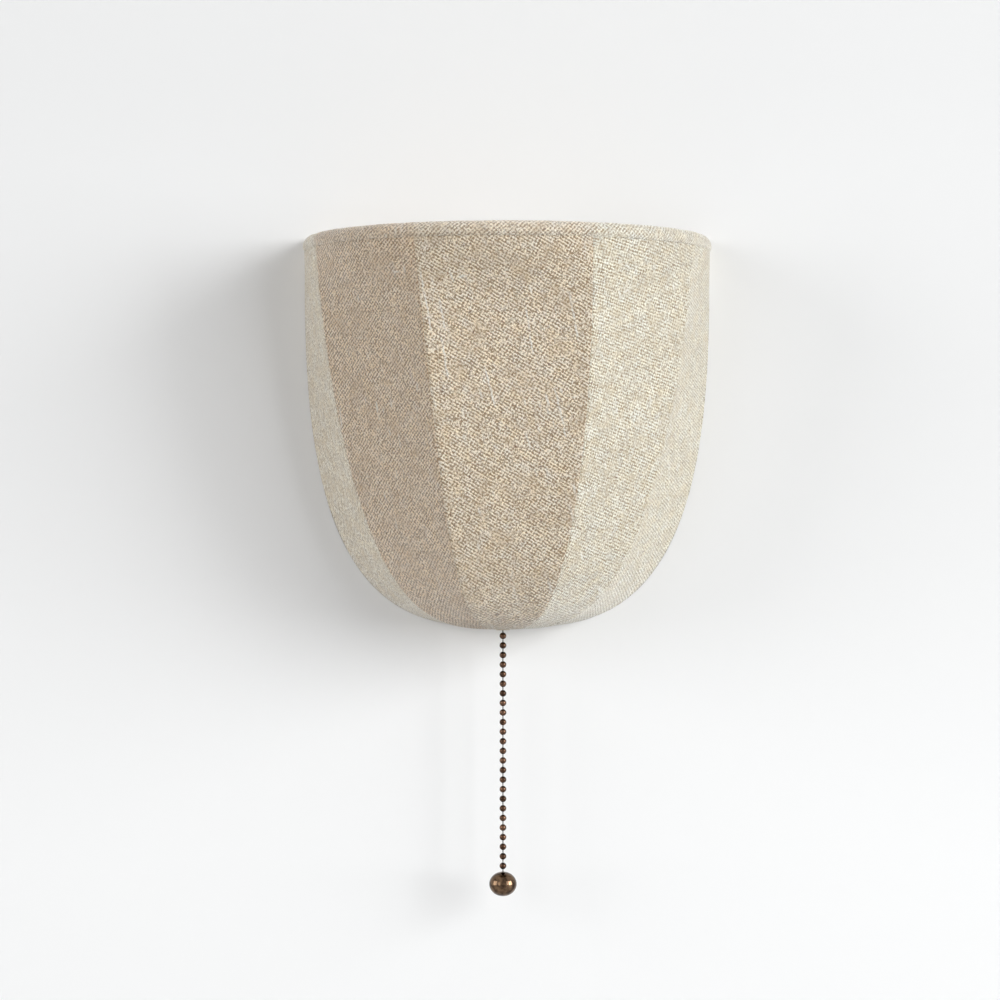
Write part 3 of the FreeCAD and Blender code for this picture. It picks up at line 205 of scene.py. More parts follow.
def mesh_object(name, verts, faces, smooth=True):
    mesh = bpy.data.meshes.new(name)
    mesh.from_pydata([tuple(v) for v in verts], [], faces)
    mesh.validate()
    mesh.update()
    if smooth:
        mesh.polygons.foreach_set("use_smooth", [True] * len(mesh.polygons))
    made = bpy.data.objects.new(name, mesh)
    bpy.context.scene.collection.objects.link(made)
    return made


def grid_faces(rows, columns, start=0, flip=False):
    faces = []
    for i in range(rows - 1):
        for j in range(columns - 1):
            a = start + i * columns + j
            quad = (a, a + 1, a + columns + 1, a + columns)
            faces.append(quad[::-1] if flip else quad)
    return faces


def closed_sheet(name, outer, inner, cloth_uv, tone_and_painted_light, blend_weight):
    """A sheet with thickness: two grids of points and the strips that join their edges.

    The tone_and_painted_light is how pale its cloth is, partly painted light, and the blend_weight, from 0 to
    1, how far its colour is painted as lit rather than shaded. Each is one number, or one for each column.
    """
    rows, columns = outer.shape[:2]
    count = rows * columns
    verts = np.concatenate([outer.reshape(-1, 3), inner.reshape(-1, 3)])
    faces = grid_faces(rows, columns, 0, flip=True) + grid_faces(rows, columns, count)
    rim = list(range(columns))
    rim += [i * columns + columns - 1 for i in range(1, rows)]
    rim += [(rows - 1) * columns + j for j in range(columns - 2, -1, -1)]
    rim += [i * columns for i in range(rows - 2, 0, -1)]
    for a, b in zip(rim, rim[1:] + rim[:1]):
        faces.append((a, b, b + count, a + count))
    made = mesh_object(name, verts, faces)
    layer = made.data.uv_layers.new(name="cloth")
    flat = np.concatenate([cloth_uv.reshape(-1, 2)] * 2)
    corners = np.zeros(len(made.data.loops), dtype=np.int32)
    made.data.loops.foreach_get("vertex_index", corners)
    layer.data.foreach_set("uv", flat[corners].astype(np.float32).ravel())
    for label, value in (("tone_and_painted_light", tone_and_painted_light), ("blend_weight", blend_weight)):
        values = np.broadcast_to(value, outer.shape[:2]).reshape(-1).astype(np.float32)
        attribute = made.data.attributes.new(label, "FLOAT", "POINT")
        attribute.data.foreach_set("value", np.concatenate([values, values]))
    return made


def turned(name, profiles, sides):
    """Rings of points turned round upright axes, each set given as (centre, profile, turn).

    A profile is a list of (radius, height), and its end joins its start.
    """
    verts, faces = [], []
    for (x, y, level), profile, turn in profiles:
        start = len(verts)
        for r, z in profile:
            for k in range(sides):
                angle = turn + 2 * math.pi * k / sides
                verts.append((x + r * math.cos(angle), y + r * math.sin(angle), level + z))
        rings = len(profile)
        for i in range(rings):
            upper, lower = start + i * sides, start + (i + 1) % rings * sides
            for k in range(sides):
                n = (k + 1) % sides
                faces.append((upper + k, lower + k, lower + n, upper + n))
    return mesh_object(name, verts, faces)


# Side curves

class SideCurve:
    """One side curve of the cloth, from the rim wire's height down to the bottom, by its length."""

    def __init__(self, foot, azimuth, upper, lower, bow=0.0):
        rim = at_azimuth(CLOTH_R, azimuth)
        self.bow = bow
        self.foot = np.array(foot)
        reach = np.linalg.norm(rim - self.foot)
        self.out = (rim - self.foot) / reach
        self.sideways = np.array([-self.out[1], self.out[0], 0.0])
        angle = np.linspace(0, math.pi / 2, CURVE_SAMPLES)
        self.r = reach * np.clip(np.cos(angle), 0, 1) ** (2 / lower)
        self.z = RIM_WIRE_Z - (RIM_WIRE_Z - BOTTOM_Z) * np.sin(angle) ** (2 / upper)
        self.lengths = np.concatenate([[0], np.cumsum(np.hypot(np.diff(self.r), np.diff(self.z)))])
        self.total = self.lengths[-1]

    def length_at_reach(self, reach):
        return self.lengths[np.argmax(self.r <= reach)]

    def at(self, lengths):
        r = np.interp(lengths, self.lengths, self.r)
        z = np.interp(lengths, self.lengths, self.z)
        done = lengths / self.total
        points = self.foot + np.outer(r, self.out) + np.outer(4 * self.bow * done * (1 - done), self.sideways)
        points[:, 2] = z
        return points


def at_azimuth(radius, azimuth):
    angle = math.radians(azimuth)
    return np.array([radius * math.sin(angle), -radius * math.cos(angle), 0.0])


# Cloth

def noise_field(seed, points, scale):
    """Smooth noise from a few seeded plane waves, about -1 to 1."""
    rng = np.random.default_rng(seed)
    total = np.zeros(len(points))
    for _ in range(NOISE_WAVES):
        direction = rng.normal(size=3)
        direction /= np.linalg.norm(direction)
        pitch = scale * rng.uniform(*NOISE_SPREAD)
        total += np.sin(2 * math.pi * (points @ direction) / pitch + rng.uniform(0, 2 * math.pi))
    return total / (NOISE_WAVES / 2)


def grid_normals(grid):
    """Outward normals of a grid whose rows run down and whose columns run from left to right."""
    down = np.gradient(grid, axis=0)
    across = np.gradient(grid, axis=1)
    normals = np.cross(down, across)
    size = np.linalg.norm(normals, axis=2, keepdims=True)
    return normals / np.maximum(size, 1e-12)


def gore_columns(width):
    """Shares across a gore: close together beside both seams."""
    ends = np.array(SEAM_COLUMNS) / width
    middle = np.linspace(ends[-1], 1 - ends[-1], GORE_MIDDLE_COLUMNS + 2)[1:-1]
    return np.concatenate([ends, middle, (1 - ends)[::-1]])


def flat_gore(left, right, left_azimuth, right_azimuth, ends, across):
    """The outer face before its edges are rounded: round at the rim and flat lower down."""
    shares = np.linspace(0, 1, GORE_ROWS + 1) ** GORE_ROW_POWER
    a = left.at(ends[0] * shares)
    b = right.at(ends[1] * shares)
    grid = a[:, None, :] + (b - a)[:, None, :] * across[None, :, None]
    azimuths = left_azimuth + (right_azimuth - left_azimuth) * across
    left_end, right_end = at_azimuth(CLOTH_R, left_azimuth), at_azimuth(CLOTH_R, right_azimuth)
    chord = np.outer(1 - across, left_end) + np.outer(across, right_end)
    bulge = np.array([at_azimuth(CLOTH_R, azimuth) for azimuth in azimuths]) - chord
    blend_weight = np.exp(-((RIM_WIRE_Z - grid[:, :, 2]) / FLATTEN_DEPTH) ** 2)
    return grid + bulge[None, :, :] * blend_weight[:, :, None]


def round_edge(grid, crest, outwards, half_cos):
    """Moves the points near a rib on to a round of CREASE_R over it."""
    centre = crest - outwards * (CREASE_R / half_cos)[:, None]
    down = np.gradient(crest, axis=0)
    down /= np.maximum(np.linalg.norm(down, axis=1, keepdims=True), 1e-12)
    offset = grid - centre[:, None, :]
    offset -= np.sum(offset * down[:, None, :], axis=2, keepdims=True) * down[:, None, :]
    reach = np.linalg.norm(offset, axis=2)
    from_crest = np.linalg.norm(grid - crest[:, None, :], axis=2)
    tangent = CREASE_R * np.sqrt(np.maximum(1 / half_cos ** 2 - 1, 0))
    near = (from_crest < tangent[:, None]) & (reach > CREASE_R)
    push = np.where(near, reach - CREASE_R, 0)
    return grid - offset / np.maximum(reach, 1e-9)[:, :, None] * push[:, :, None]


def cloth_uv_of(grid, down_length, mirrored=False, turn=0.0):
    """Metres along the cloth's weft and warp, from the top of the gore's middle line."""
    step = np.linalg.norm(np.diff(grid, axis=1), axis=2)
    across = np.concatenate([np.zeros((len(grid), 1)), np.cumsum(step, axis=1)], axis=1)
    across -= across[:, -1:] / 2
    if mirrored:
        across = -across
    down = np.broadcast_to(down_length[:, None], across.shape)
    cos, sin = math.cos(math.radians(turn)), math.sin(math.radians(turn))
    return np.stack([across * cos + down * sin, down * cos - across * sin], axis=2)


def make_gores():
    """The five cloth panels of the shade, sewn edge to edge over the ribs."""
    curves = {-90: SideCurve((0, 0, 0), -90, EDGE_UPPER, EDGE_LOWER)}
    for azimuth, bow in RIBS:
        curves[azimuth] = SideCurve(HUB, azimuth, RIB_UPPER, RIB_LOWER, bow)
    curves[90] = SideCurve((0, 0, 0), 90, EDGE_UPPER, EDGE_LOWER)
    azimuths = list(curves)
    grids = []
    for a, b in zip(azimuths, azimuths[1:]):
        left, right = curves[a], curves[b]
        at_wall = 90 in (abs(a), abs(b))
        ends = [c.total if at_wall else c.length_at_reach(EYELET_ROOM) for c in (left, right)]
        width = np.linalg.norm(at_azimuth(CLOTH_R, a) - at_azimuth(CLOTH_R, b))
        grids.append(flat_gore(left, right, a, b, ends, gore_columns(width)))
    normals = [grid_normals(grid) for grid in grids]
    rounded = [grid.copy() for grid in grids]
    for i in range(len(grids) - 1):
        for side, other, mine, theirs in ((i, i + 1, -1, 0), (i + 1, i, 0, -1)):
            crest = grids[side][:, mine]
            facing = normals[side][:, mine] + normals[other][:, theirs]
            facing /= np.maximum(np.linalg.norm(facing, axis=1, keepdims=True), 1e-12)
            half_cos = np.clip(np.sum(facing * normals[side][:, mine], axis=1), 0.2, 1)
            rounded[side] = round_edge(rounded[side], crest, facing, half_cos)
            rounded[side][:, mine] -= facing * SEAM_DIP
    for number, ((name, mirrored, turn, tone_and_painted_light, blend_weight), grid) in enumerate(zip(PANELS, rounded)):
        facing = grid_normals(grid)
        flat = grid.reshape(-1, 3)
        steps = np.linalg.norm(np.diff(grids[number][:, len(grid[0]) // 2], axis=0), axis=1)
        down_length = np.concatenate([[0], np.cumsum(steps)])
        spread = cloth_uv_of(grid, down_length)
        cloth_uv = cloth_uv_of(grid, down_length, mirrored, turn)
        inset = np.minimum(np.arange(grid.shape[1]), np.arange(grid.shape[1])[::-1])
        calm_across = np.clip(inset / CALM_COLUMNS, 0, 1)[None, :]
        calm = calm_across * np.clip(np.arange(len(grid)) / CALM_ROWS, 0, 1)[:, None]
        ripple = noise_field(RIPPLE_SEED + number, flat, RIPPLE_PITCH).reshape(grid.shape[:2]) * RIPPLE * calm
        beside_seam = np.exp(-((inset - PUCKER_COLUMN) / PUCKER_SPREAD) ** 2)[None, :]
        pucker = noise_field(PUCKER_SEED + number, flat, PUCKER_PITCH).reshape(grid.shape[:2])
        pucker = pucker * PUCKER * beside_seam
        outer = grid + facing * (ripple + pucker)[:, :, None]
        inner = outer - facing * CLOTH_T
        for face in (outer, inner):
            face[:, :, 1] = np.minimum(face[:, :, 1], -WALL_GAP)
        piece = closed_sheet(name + "_cloth", outer, inner, cloth_uv, tone_and_painted_light, blend_weight)
        width, length = np.ptp(spread[:, :, 0]), np.ptp(spread[:, :, 1])
        finish_piece(piece, "fixture", "linen", name + "_gore")


def finish_piece(piece, body, slot, *nodes):
    """Gives a piece the material of its slot, puts it on its body and hides the CAD nodes that it stands for.
    """
    piece.data.materials.clear()
    piece.data.materials.append(MATERIALS[slot])
    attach(piece, body)
    if nodes:
        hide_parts(*nodes)


def make_binding():
    """The folded strip over the rim wire, with a leg down each side of the cloth."""
    foot = RIM_FOOT_Z + BINDING_FOOT_ROOM
    shoulder = RIM_TOP_Z - BINDING_CROWN
    sinks = (BINDING_T - BINDING_FOOT_T) * np.linspace(1, 0, BINDING_LEG_POINTS) ** BINDING_TAPER
    heights = np.linspace(foot, shoulder, BINDING_LEG_POINTS)
    leg = [(ROLL_R - sink, height) for sink, height in zip(sinks, heights)]
    crown = [(ROLL_R * math.cos(angle), shoulder + BINDING_CROWN * math.sin(angle))
             for angle in np.linspace(0, math.pi, BINDING_CROWN_POINTS)[1:-1]]
    profile = np.array(leg + crown + [(-r, height) for r, height in leg[::-1]])
    thickness = np.concatenate([BINDING_T - sinks, np.full(len(crown), BINDING_T), (BINDING_T - sinks)[::-1]])
    lengths = np.concatenate([[0], np.cumsum(np.linalg.norm(np.diff(profile, axis=0), axis=1))])
    inwards = np.zeros_like(profile)
    step = np.gradient(profile, axis=0)
    inwards[:, 0], inwards[:, 1] = -step[:, 1], step[:, 0]
    inwards /= np.linalg.norm(inwards, axis=1, keepdims=True)
    end_gap = math.asin(WALL_GAP / RIM_PATH_R)
    turns = np.linspace(-math.pi / 2 + end_gap, math.pi / 2 - end_gap, BINDING_STEPS)

    def skin(insets):
        section = profile + inwards * insets[:, None]
        grid = np.zeros((len(section), len(turns), 3))
        for j, turn in enumerate(turns):
            radius = RIM_PATH_R + section[:, 0]
            grid[:, j, 0] = radius * math.sin(turn)
            grid[:, j, 1] = -radius * math.cos(turn)
            grid[:, j, 2] = section[:, 1]
        return grid

    outer = skin(thickness * 0)
    lumps = noise_field(BINDING_LUMP_SEED, outer.reshape(-1, 3), BINDING_LUMP_PITCH).reshape(outer.shape[:2])
    outer += grid_normals(outer[::-1])[::-1] * (lumps * BINDING_LUMPS - BINDING_SINK)[:, :, None]
    inner = skin(thickness)
    for face in (outer, inner):
        face[:, :, 1] = np.minimum(face[:, :, 1], -WALL_GAP)
    around = (turns * RIM_PATH_R)[None, :] * np.ones((len(profile), 1))
    cloth_uv = np.stack([around, np.broadcast_to(lengths[:, None], around.shape)], axis=2)
    # The panels' levels and painted light carried on to the binding, changing softly at each rib
    edges = [azimuth + side for azimuth, _ in RIBS for side in (-BINDING_BLEND, BINDING_BLEND)]
    stops = [-90] + edges + [90]
    tones_and_painted_light, painted_light_shares = [panel[3] for panel in PANELS], [panel[4] for panel in PANELS]
    tone_and_painted_light, blend_weight = [np.interp(np.degrees(turns), stops, np.repeat(values, 2)) for values in (tones_and_painted_light, painted_light_shares)]
    piece = closed_sheet("rolled_binding", outer[::-1], inner[::-1], cloth_uv[::-1], tone_and_painted_light * BINDING_TONE,
                         blend_weight)
    finish_piece(piece, "fixture", "linen_binding", "rim_binding")


# Chain

def bead_profile():
    """A hollow ball's side, with a small hole turned in at both ends."""
    start = math.asin(BEAD_HOLE_R / BEAD_R)
    angles = np.linspace(start, math.pi - start, BEAD_RINGS)
    profile = [(BEAD_HOLE_R * BEAD_HOLE_TAPER, BEAD_R * math.cos(start) - BEAD_HOLE_DEPTH)]
    profile += [(BEAD_R * math.sin(a), BEAD_R * math.cos(a)) for a in angles]
    profile.append((BEAD_HOLE_R * BEAD_HOLE_TAPER, -BEAD_R * math.cos(start) + BEAD_HOLE_DEPTH))
    return profile


def link_profile(top, bottom):
    return [(LINK_R, top), (LINK_R * LINK_WAIST, (top + bottom) / 2), (LINK_R, bottom)]


def bead_z(number):
    return FIRST_BEAD_Z - number * BEAD_PITCH


def chain_piece(name, body, beads, links, *nodes):
    """The beads with these numbers, each turned at random, and the link wires between these heights."""
    rng = random.Random(BEAD_SEED)
    parts = []
    for number in beads:
        parts.append(((HUB.x, HUB.y, bead_z(number)), bead_profile(), rng.uniform(0, 6.28)))
    for top, bottom in links:
        parts.append((HUB, link_profile(top, bottom), 0.0))
    finish_piece(turned(name, parts, BEAD_SIDES), body, "chain_bronze", *nodes)


def make_chains():
    """The chain in three pieces: what the switch pulls, the first free bead and what hangs from it."""
    reach = BEAD_R - LINK_OVERLAP
    between = [(bead_z(i) - reach, bead_z(i + 1) + reach) for i in range(-INSIDE_BEADS, SHOWN_BEADS - 1)]
    inside, swivel, hanging = between[:INSIDE_BEADS], between[INSIDE_BEADS], between[INSIDE_BEADS + 1:]
    pivot = BEAD_R + PIVOT_ROOM
    last = SHOWN_BEADS - 1
    swivel = (bead_z(0) - pivot, swivel[1])
    hanging[0] = (bead_z(1) - pivot, hanging[0][1])
    hanging.append((bead_z(last) - reach, KNOB_HIGH.z - KNOB_LINK_DEPTH))
    chain_piece("inside_chain", "pull_chain", range(-INSIDE_BEADS, 1), inside, "upper_chain")
    chain_piece("first_free_bead", "chain_swivel", [1], [swivel], "swivel_bead")
    chain_piece("hanging_beads", "hanging_chain", range(2, SHOWN_BEADS), hanging, "lower_chain")


def make_knob():
    """The ball at the chain's end, a little wider than high, with the hole for the last link."""
    half_width = (KNOB_HIGH.x - KNOB_LOW.x) / 2
    half_height = (KNOB_HIGH.z - KNOB_LOW.z) / 2
    middle = (KNOB_HIGH.z + KNOB_LOW.z) / 2
    start = math.asin(KNOB_HOLE_R / half_width)
    angles = np.linspace(start * KNOB_LIP_TURN, math.pi - KNOB_TIP_TURN, KNOB_RINGS)[:-1]
    profile = [(KNOB_HOLE_R, half_height - KNOB_HOLE_DEPTH), (KNOB_HOLE_R, half_height * KNOB_LIP_HEIGHT)]
    profile += [(half_width * math.sin(a), half_height * math.cos(a)) for a in angles]
    profile.append((KNOB_TIP_R, -half_height))
    piece = turned("ball_knob", [((HUB.x, HUB.y, middle), profile, 0.0)], KNOB_SIDES)
    finish_piece(piece, "hanging_chain", "knob_copper", "pull_knob")


# Materials

class Nodes:
    """Short calls that add and join shader nodes."""

    def __init__(self, name):
        self.material = bpy.data.materials.new(name)
        self.material.use_nodes = True
        self.tree = self.material.node_tree
        self.tree.nodes.clear()
        self.out = self.tree.nodes.new("ShaderNodeOutputMaterial")

    def add(self, kind, **settings):
        node = self.tree.nodes.new(kind)
        for key, value in settings.items():
            setattr(node, key, value)
        return node

    def put(self, socket, value):
        if isinstance(value, bpy.types.NodeSocket):
            self.tree.links.new(value, socket)
        elif value is not None:
            socket.default_value = value

    def math(self, operation, a, b=None, c=None):
        node = self.add("ShaderNodeMath", operation=operation)
        for socket, value in zip(node.inputs, (a, b, c)):
            self.put(socket, value)
        return node.outputs[0]

    def noise(self, place, scale, detail=3.0, roughness=0.5, distortion=0.0):
        node = self.add("ShaderNodeTexNoise")
        settings = {"Vector": place, "Scale": scale, "Detail": detail, "Roughness": roughness,
                    "Distortion": distortion}
        for key, value in settings.items():
            self.put(node.inputs[key], value)
        return node.outputs["Fac"]

    def range(self, value, low, high, to_low=0.0, to_high=1.0):
        node = self.add("ShaderNodeMapRange")
        for socket, given in zip(node.inputs, (value, low, high, to_low, to_high)):
            self.put(socket, given)
        return node.outputs[0]

    def stretch(self, vector, scale):
        node = self.add("ShaderNodeVectorMath", operation="SCALE")
        self.put(node.inputs[0], vector)
        self.put(node.inputs["Scale"], scale)
        return node.outputs[0]

    def mix(self, share, a, b, blend="MIX"):
        node = self.add("ShaderNodeMix", data_type="RGBA", blend_type=blend)
        self.put(node.inputs[0], share)
        for socket, value in ((node.inputs[6], a), (node.inputs[7], b)):
            self.put(socket, value if isinstance(value, bpy.types.NodeSocket) else (*value, 1))
        return node.outputs[2]

    def bump(self, height, distance, strength):
        node = self.add("ShaderNodeBump")
        node.inputs["Strength"].default_value = strength
        node.inputs["Distance"].default_value = distance
        self.put(node.inputs["Height"], height)
        return node.outputs["Normal"]

    def surface(self, **inputs):
        """Ends the material in a Principled shader, and gives it back."""
        shader = self.add("ShaderNodeBsdfPrincipled")
        for key, value in inputs.items():
            socket = shader.inputs[key.replace("_", " ")]
            if isinstance(value, tuple) and len(value) == 3 and socket.type == "RGBA":
                value = (*value, 1)
            self.put(socket, value)
        self.tree.links.new(shader.outputs[0], self.out.inputs[0])
        return self.material


# Linen: noise scales are in waves to the metre, and a pair is where a noise starts to show and where it
# shows fully
YARN_PITCH = 1.32 * MM
YARN_WANDER = 1.7
WARP_WANDER_SCALE, WARP_DISTORTION = 88.0, 0.0
WEFT_WANDER_SCALE, WEFT_DISTORTION = 79.0, 0.5
LEAN_DEPTH, RISE_DEPTH, FIBRE_DEPTH = 0.32, 0.19, 3.5
FIBRE_SCALE = 820.0
CLEAR_SCALE, CLEARINGS, CLEAR_LEAST, CLEAR_MOST = 230.0, (0.36, 0.64), 0.35, 1.25
# Painted light: the weave's light and dark are stronger on the shaded side and weaker on the lit side
SHADED_SIDE_RELIEF, LIT_SIDE_RELIEF = 2.2, 1.1
YARN_TONE_SCALE = 1.37
YARN_RATE, LONG_YARN_RATE = 0.05, 0.016
WARP_SEED, WEFT_SEED, LONG_YARN_SEED = 3.1, 9.7, 17.3
YARN_TONE = 0.35
WARP_SLUBS, WEFT_SLUBS, LONG_YARN_SLUBS = (0.66, 0.76), (0.70, 0.80), (0.69, 0.79)
LONG_YARN_COVER = 0.8
SLUB_COVER, SLUB_LIFT = 0.65, 0.5
PATCH_SCALE, PATCHES, PATCH_COVER = 95.0, (0.45, 0.75), 0.55
HUE_SCALE, HUES = 150.0, (0.36, 0.64)
SPECK_SCALE, SPECKS, SPECK_COVER = 430.0, (0.735, 0.76), 0.8
CLOTH_RELIEF = 0.3 * MM
# The weave's colours: the gap colour is painted shade between the yarns, the top colour the yarns' own
LINEN_GAP_SHADE = (0.30, 0.21, 0.12)
LINEN_TOP = (0.915, 0.83, 0.70)
LINEN_BROWN = (0.50, 0.385, 0.26)
LINEN_WARM = (1.04, 0.995, 0.93)
LINEN_COOL = (0.98, 0.995, 1.05)
# Tints of painted shade and painted light: warmer and deeper on the shaded side, cooler and paler on the lit
# side
SHADED_SIDE_TINT = (1.01, 0.94, 0.865)
LIT_SIDE_TINT = (0.945, 1.03, 1.06)
SLUB = (0.90, 0.88, 0.83)
FLECK = (0.16, 0.085, 0.045)

# Other surfaces: where their stains, clouds and marks show, and the shares of its roughness between which a
# surface's gloss varies
STAINS = (0.38, 0.62)
CLOUD_SCALE, CLOUDS = 120.0, (0.3, 0.75)
MARKS = (0.3, 0.7)
METAL_GLOSS, MOULDED_GLOSS = (0.8, 1.25), (0.85, 1.2)


def long_slub(n, place, ends):
    """Where a thick yarn shows, broken by the yarns that cross it."""
    top_x, top_z, low_x, low_z = ends
    split = n.add("ShaderNodeSeparateXYZ")
    n.put(split.inputs[0], place)
    done = n.range(split.outputs[2], top_z, low_z)
    line = n.math("MULTIPLY_ADD", done, low_x - top_x, top_x)
    wander = n.math("MULTIPLY_ADD", n.noise(place, SLUB_WANDER_SCALE), 2 * SLUB_WANDER, -SLUB_WANDER)
    aside = n.math("ABSOLUTE", n.math("SUBTRACT", n.math("ADD", split.outputs[0], wander), line))
    within = n.range(n.math("PINGPONG", done, 0.5), 0.0, SLUB_TAPER)
    crossed = n.range(n.noise(place, SLUB_CROSS_SCALE), *SLUB_CROSSINGS, to_low=SLUB_CROSSED)
    yarn = n.range(aside, SLUB_HALF_WIDTH, SLUB_HALF_WIDTH / 3)
    return n.math("MULTIPLY", n.math("MULTIPLY", yarn, within), crossed)


def linen(name, paler=0.0):
    """Undyed plain-woven linen: uneven yarns whose floats line up along the diagonals, slubs and flecks, with
    painted shade between the yarns and painted light and shade on the panels.
    """
    n = Nodes(name)
    uv = n.add("ShaderNodeUVMap", uv_map="cloth").outputs[0]
    place = n.add("ShaderNodeTexCoord").outputs["Object"]
    split = n.add("ShaderNodeSeparateXYZ")
    n.put(split.inputs[0], uv)

    def yarns(metres, scale, distortion):
        wander = n.noise(place, scale, roughness=0.7, distortion=distortion)
        return n.math("ADD", n.math("DIVIDE", metres, YARN_PITCH), n.math("MULTIPLY", wander, YARN_WANDER))

    def along_yarn(number, along, seed, rate=YARN_RATE):
        spot = n.add("ShaderNodeCombineXYZ")
        n.put(spot.inputs[0], number)
        n.put(spot.inputs[1], n.math("MULTIPLY", along, rate))
        spot.inputs[2].default_value = seed
        return n.noise(spot.outputs[0], YARN_TONE_SCALE, detail=2.0, roughness=0.6)

    # Each panel's level, partly painted light, and its weight of painted light against painted shade
    tone_and_painted_light = n.add("ShaderNodeAttribute", attribute_name="tone_and_painted_light").outputs["Fac"]
    blend_weight = n.add("ShaderNodeAttribute", attribute_name="blend_weight").outputs["Fac"]
    u = yarns(split.outputs[0], WARP_WANDER_SCALE, WARP_DISTORTION)
    v = yarns(split.outputs[1], WEFT_WANDER_SCALE, WEFT_DISTORTION)
    lean = n.math("COSINE", n.math("MULTIPLY", n.math("SUBTRACT", u, v), math.pi))
    rise = n.math("COSINE", n.math("MULTIPLY", n.math("ADD", u, v), math.pi))
    fibre = n.math("SUBTRACT", n.noise(place, FIBRE_SCALE, roughness=0.75), 0.5)
    clear = n.range(n.noise(place, CLEAR_SCALE, detail=2.0), *CLEARINGS, CLEAR_LEAST, CLEAR_MOST)
    height = n.math("ADD", n.math("MULTIPLY", lean, LEAN_DEPTH), n.math("MULTIPLY", rise, RISE_DEPTH))
    height = n.math("MULTIPLY_ADD", height, clear, n.math("MULTIPLY", fibre, FIBRE_DEPTH))
    # Painted light: the weave's relief, in colour and bump, is weaker where the panel is painted as lit
    relief = n.math("MULTIPLY_ADD", blend_weight, LIT_SIDE_RELIEF - SHADED_SIDE_RELIEF, SHADED_SIDE_RELIEF)
    height = n.math("MULTIPLY_ADD", height, relief, 0.5)
    warp_tone = along_yarn(n.math("FLOOR", u), v, WARP_SEED)
    weft_tone = along_yarn(n.math("FLOOR", v), u, WEFT_SEED)
    yarn_tone = n.math("ADD", n.math("SUBTRACT", warp_tone, 0.5), n.math("SUBTRACT", weft_tone, 0.5))
    slub = n.math("MAXIMUM", n.range(warp_tone, *WARP_SLUBS), n.range(weft_tone, *WEFT_SLUBS))
    long_yarn = along_yarn(n.math("FLOOR", u), v, LONG_YARN_SEED, LONG_YARN_RATE)
    slub = n.math("MAXIMUM", slub, n.range(long_yarn, *LONG_YARN_SLUBS, to_high=LONG_YARN_COVER))
    patch = n.noise(place, PATCH_SCALE, roughness=0.6)
    # The weave's height sets its colour: painted shade in the gaps between the yarns
    colour = n.mix(n.math("ADD", height, n.math("MULTIPLY", yarn_tone, YARN_TONE)), LINEN_GAP_SHADE, LINEN_TOP)
    colour = n.mix(n.range(patch, *PATCHES, to_high=PATCH_COVER), colour, LINEN_BROWN)
    hue = n.range(n.noise(place, HUE_SCALE, detail=4.0, roughness=0.75), *HUES)
    colour = n.mix(1.0, colour, n.mix(hue, LINEN_WARM, LINEN_COOL), "MULTIPLY")
    # Painted light and shade: the colour is tinted warmer and deeper on the shaded side, cooler and paler on
    # the lit side
    colour = n.mix(1.0, colour, n.mix(blend_weight, SHADED_SIDE_TINT, LIT_SIDE_TINT), "MULTIPLY")
    # Each panel's level, partly painted light: the far panels are paler as painted sheen
    colour = n.stretch(colour, tone_and_painted_light)
    for ends in LONG_SLUBS:
        slub = n.math("MAXIMUM", slub, long_slub(n, place, [value * MM for value in ends]))
    colour = n.mix(n.math("MULTIPLY", slub, SLUB_COVER), colour, SLUB)
    speck = n.range(n.noise(place, SPECK_SCALE, detail=1.0), *SPECKS)
    colour = n.mix(n.math("MULTIPLY", speck, SPECK_COVER), colour, FLECK)
    if paler:
        colour = n.mix(paler, colour, SLUB)
    thick = n.math("ADD", height, n.math("MULTIPLY", slub, SLUB_LIFT))
    return n.surface(Base_Color=colour, Roughness=0.6, Normal=n.bump(thick, CLOTH_RELIEF, strength=0.9),
                     Sheen_Weight=1.0, Sheen_Roughness=0.3, Sheen_Tint=(1.0, 0.99, 0.97),
                     Specular_IOR_Level=0.5)


def metal(name, colour, dark, roughness, grain=900.0, stain_and_dark_reflection=0.25, lift=0.02 * MM, stains=160.0):
    """A bare or plated metal: stained in patches, a little by default, with fine marks in its gloss. Where
    the patches are strong and dark, on the chain and the knob, they are partly painted reflection of dark
    surroundings.
    """
    n = Nodes(name)
    place = n.add("ShaderNodeTexCoord").outputs["Object"]
    stain = n.noise(place, stains, detail=4.0, roughness=0.6)
    marks = n.noise(place, grain, roughness=0.6, distortion=0.3)
    # Stain patches; where strong, partly painted reflection of dark surroundings
    tint = n.mix(n.math("MULTIPLY", n.range(stain, *STAINS), stain_and_dark_reflection), colour, dark)
    gloss = n.range(marks, *MARKS, *[roughness * share for share in METAL_GLOSS])
    return n.surface(Base_Color=tint, Metallic=1.0, Roughness=gloss, Normal=n.bump(marks, lift, strength=0.3))


def moulded(name, colour, dark, roughness, grain=700.0, lift=0.03 * MM, **extra):
    """A moulded, painted or glazed surface with a fine uneven skin."""
    n = Nodes(name)
    place = n.add("ShaderNodeTexCoord").outputs["Object"]
    cloud = n.noise(place, CLOUD_SCALE, detail=4.0, roughness=0.6)
    skin = n.noise(place, grain, detail=2.0)
    tint = n.mix(n.range(cloud, *CLOUDS), colour, dark)
    gloss = n.range(skin, *MARKS, *[roughness * share for share in MOULDED_GLOSS])
    return n.surface(Base_Color=tint, Roughness=gloss, Normal=n.bump(skin, lift, strength=0.35), **extra)


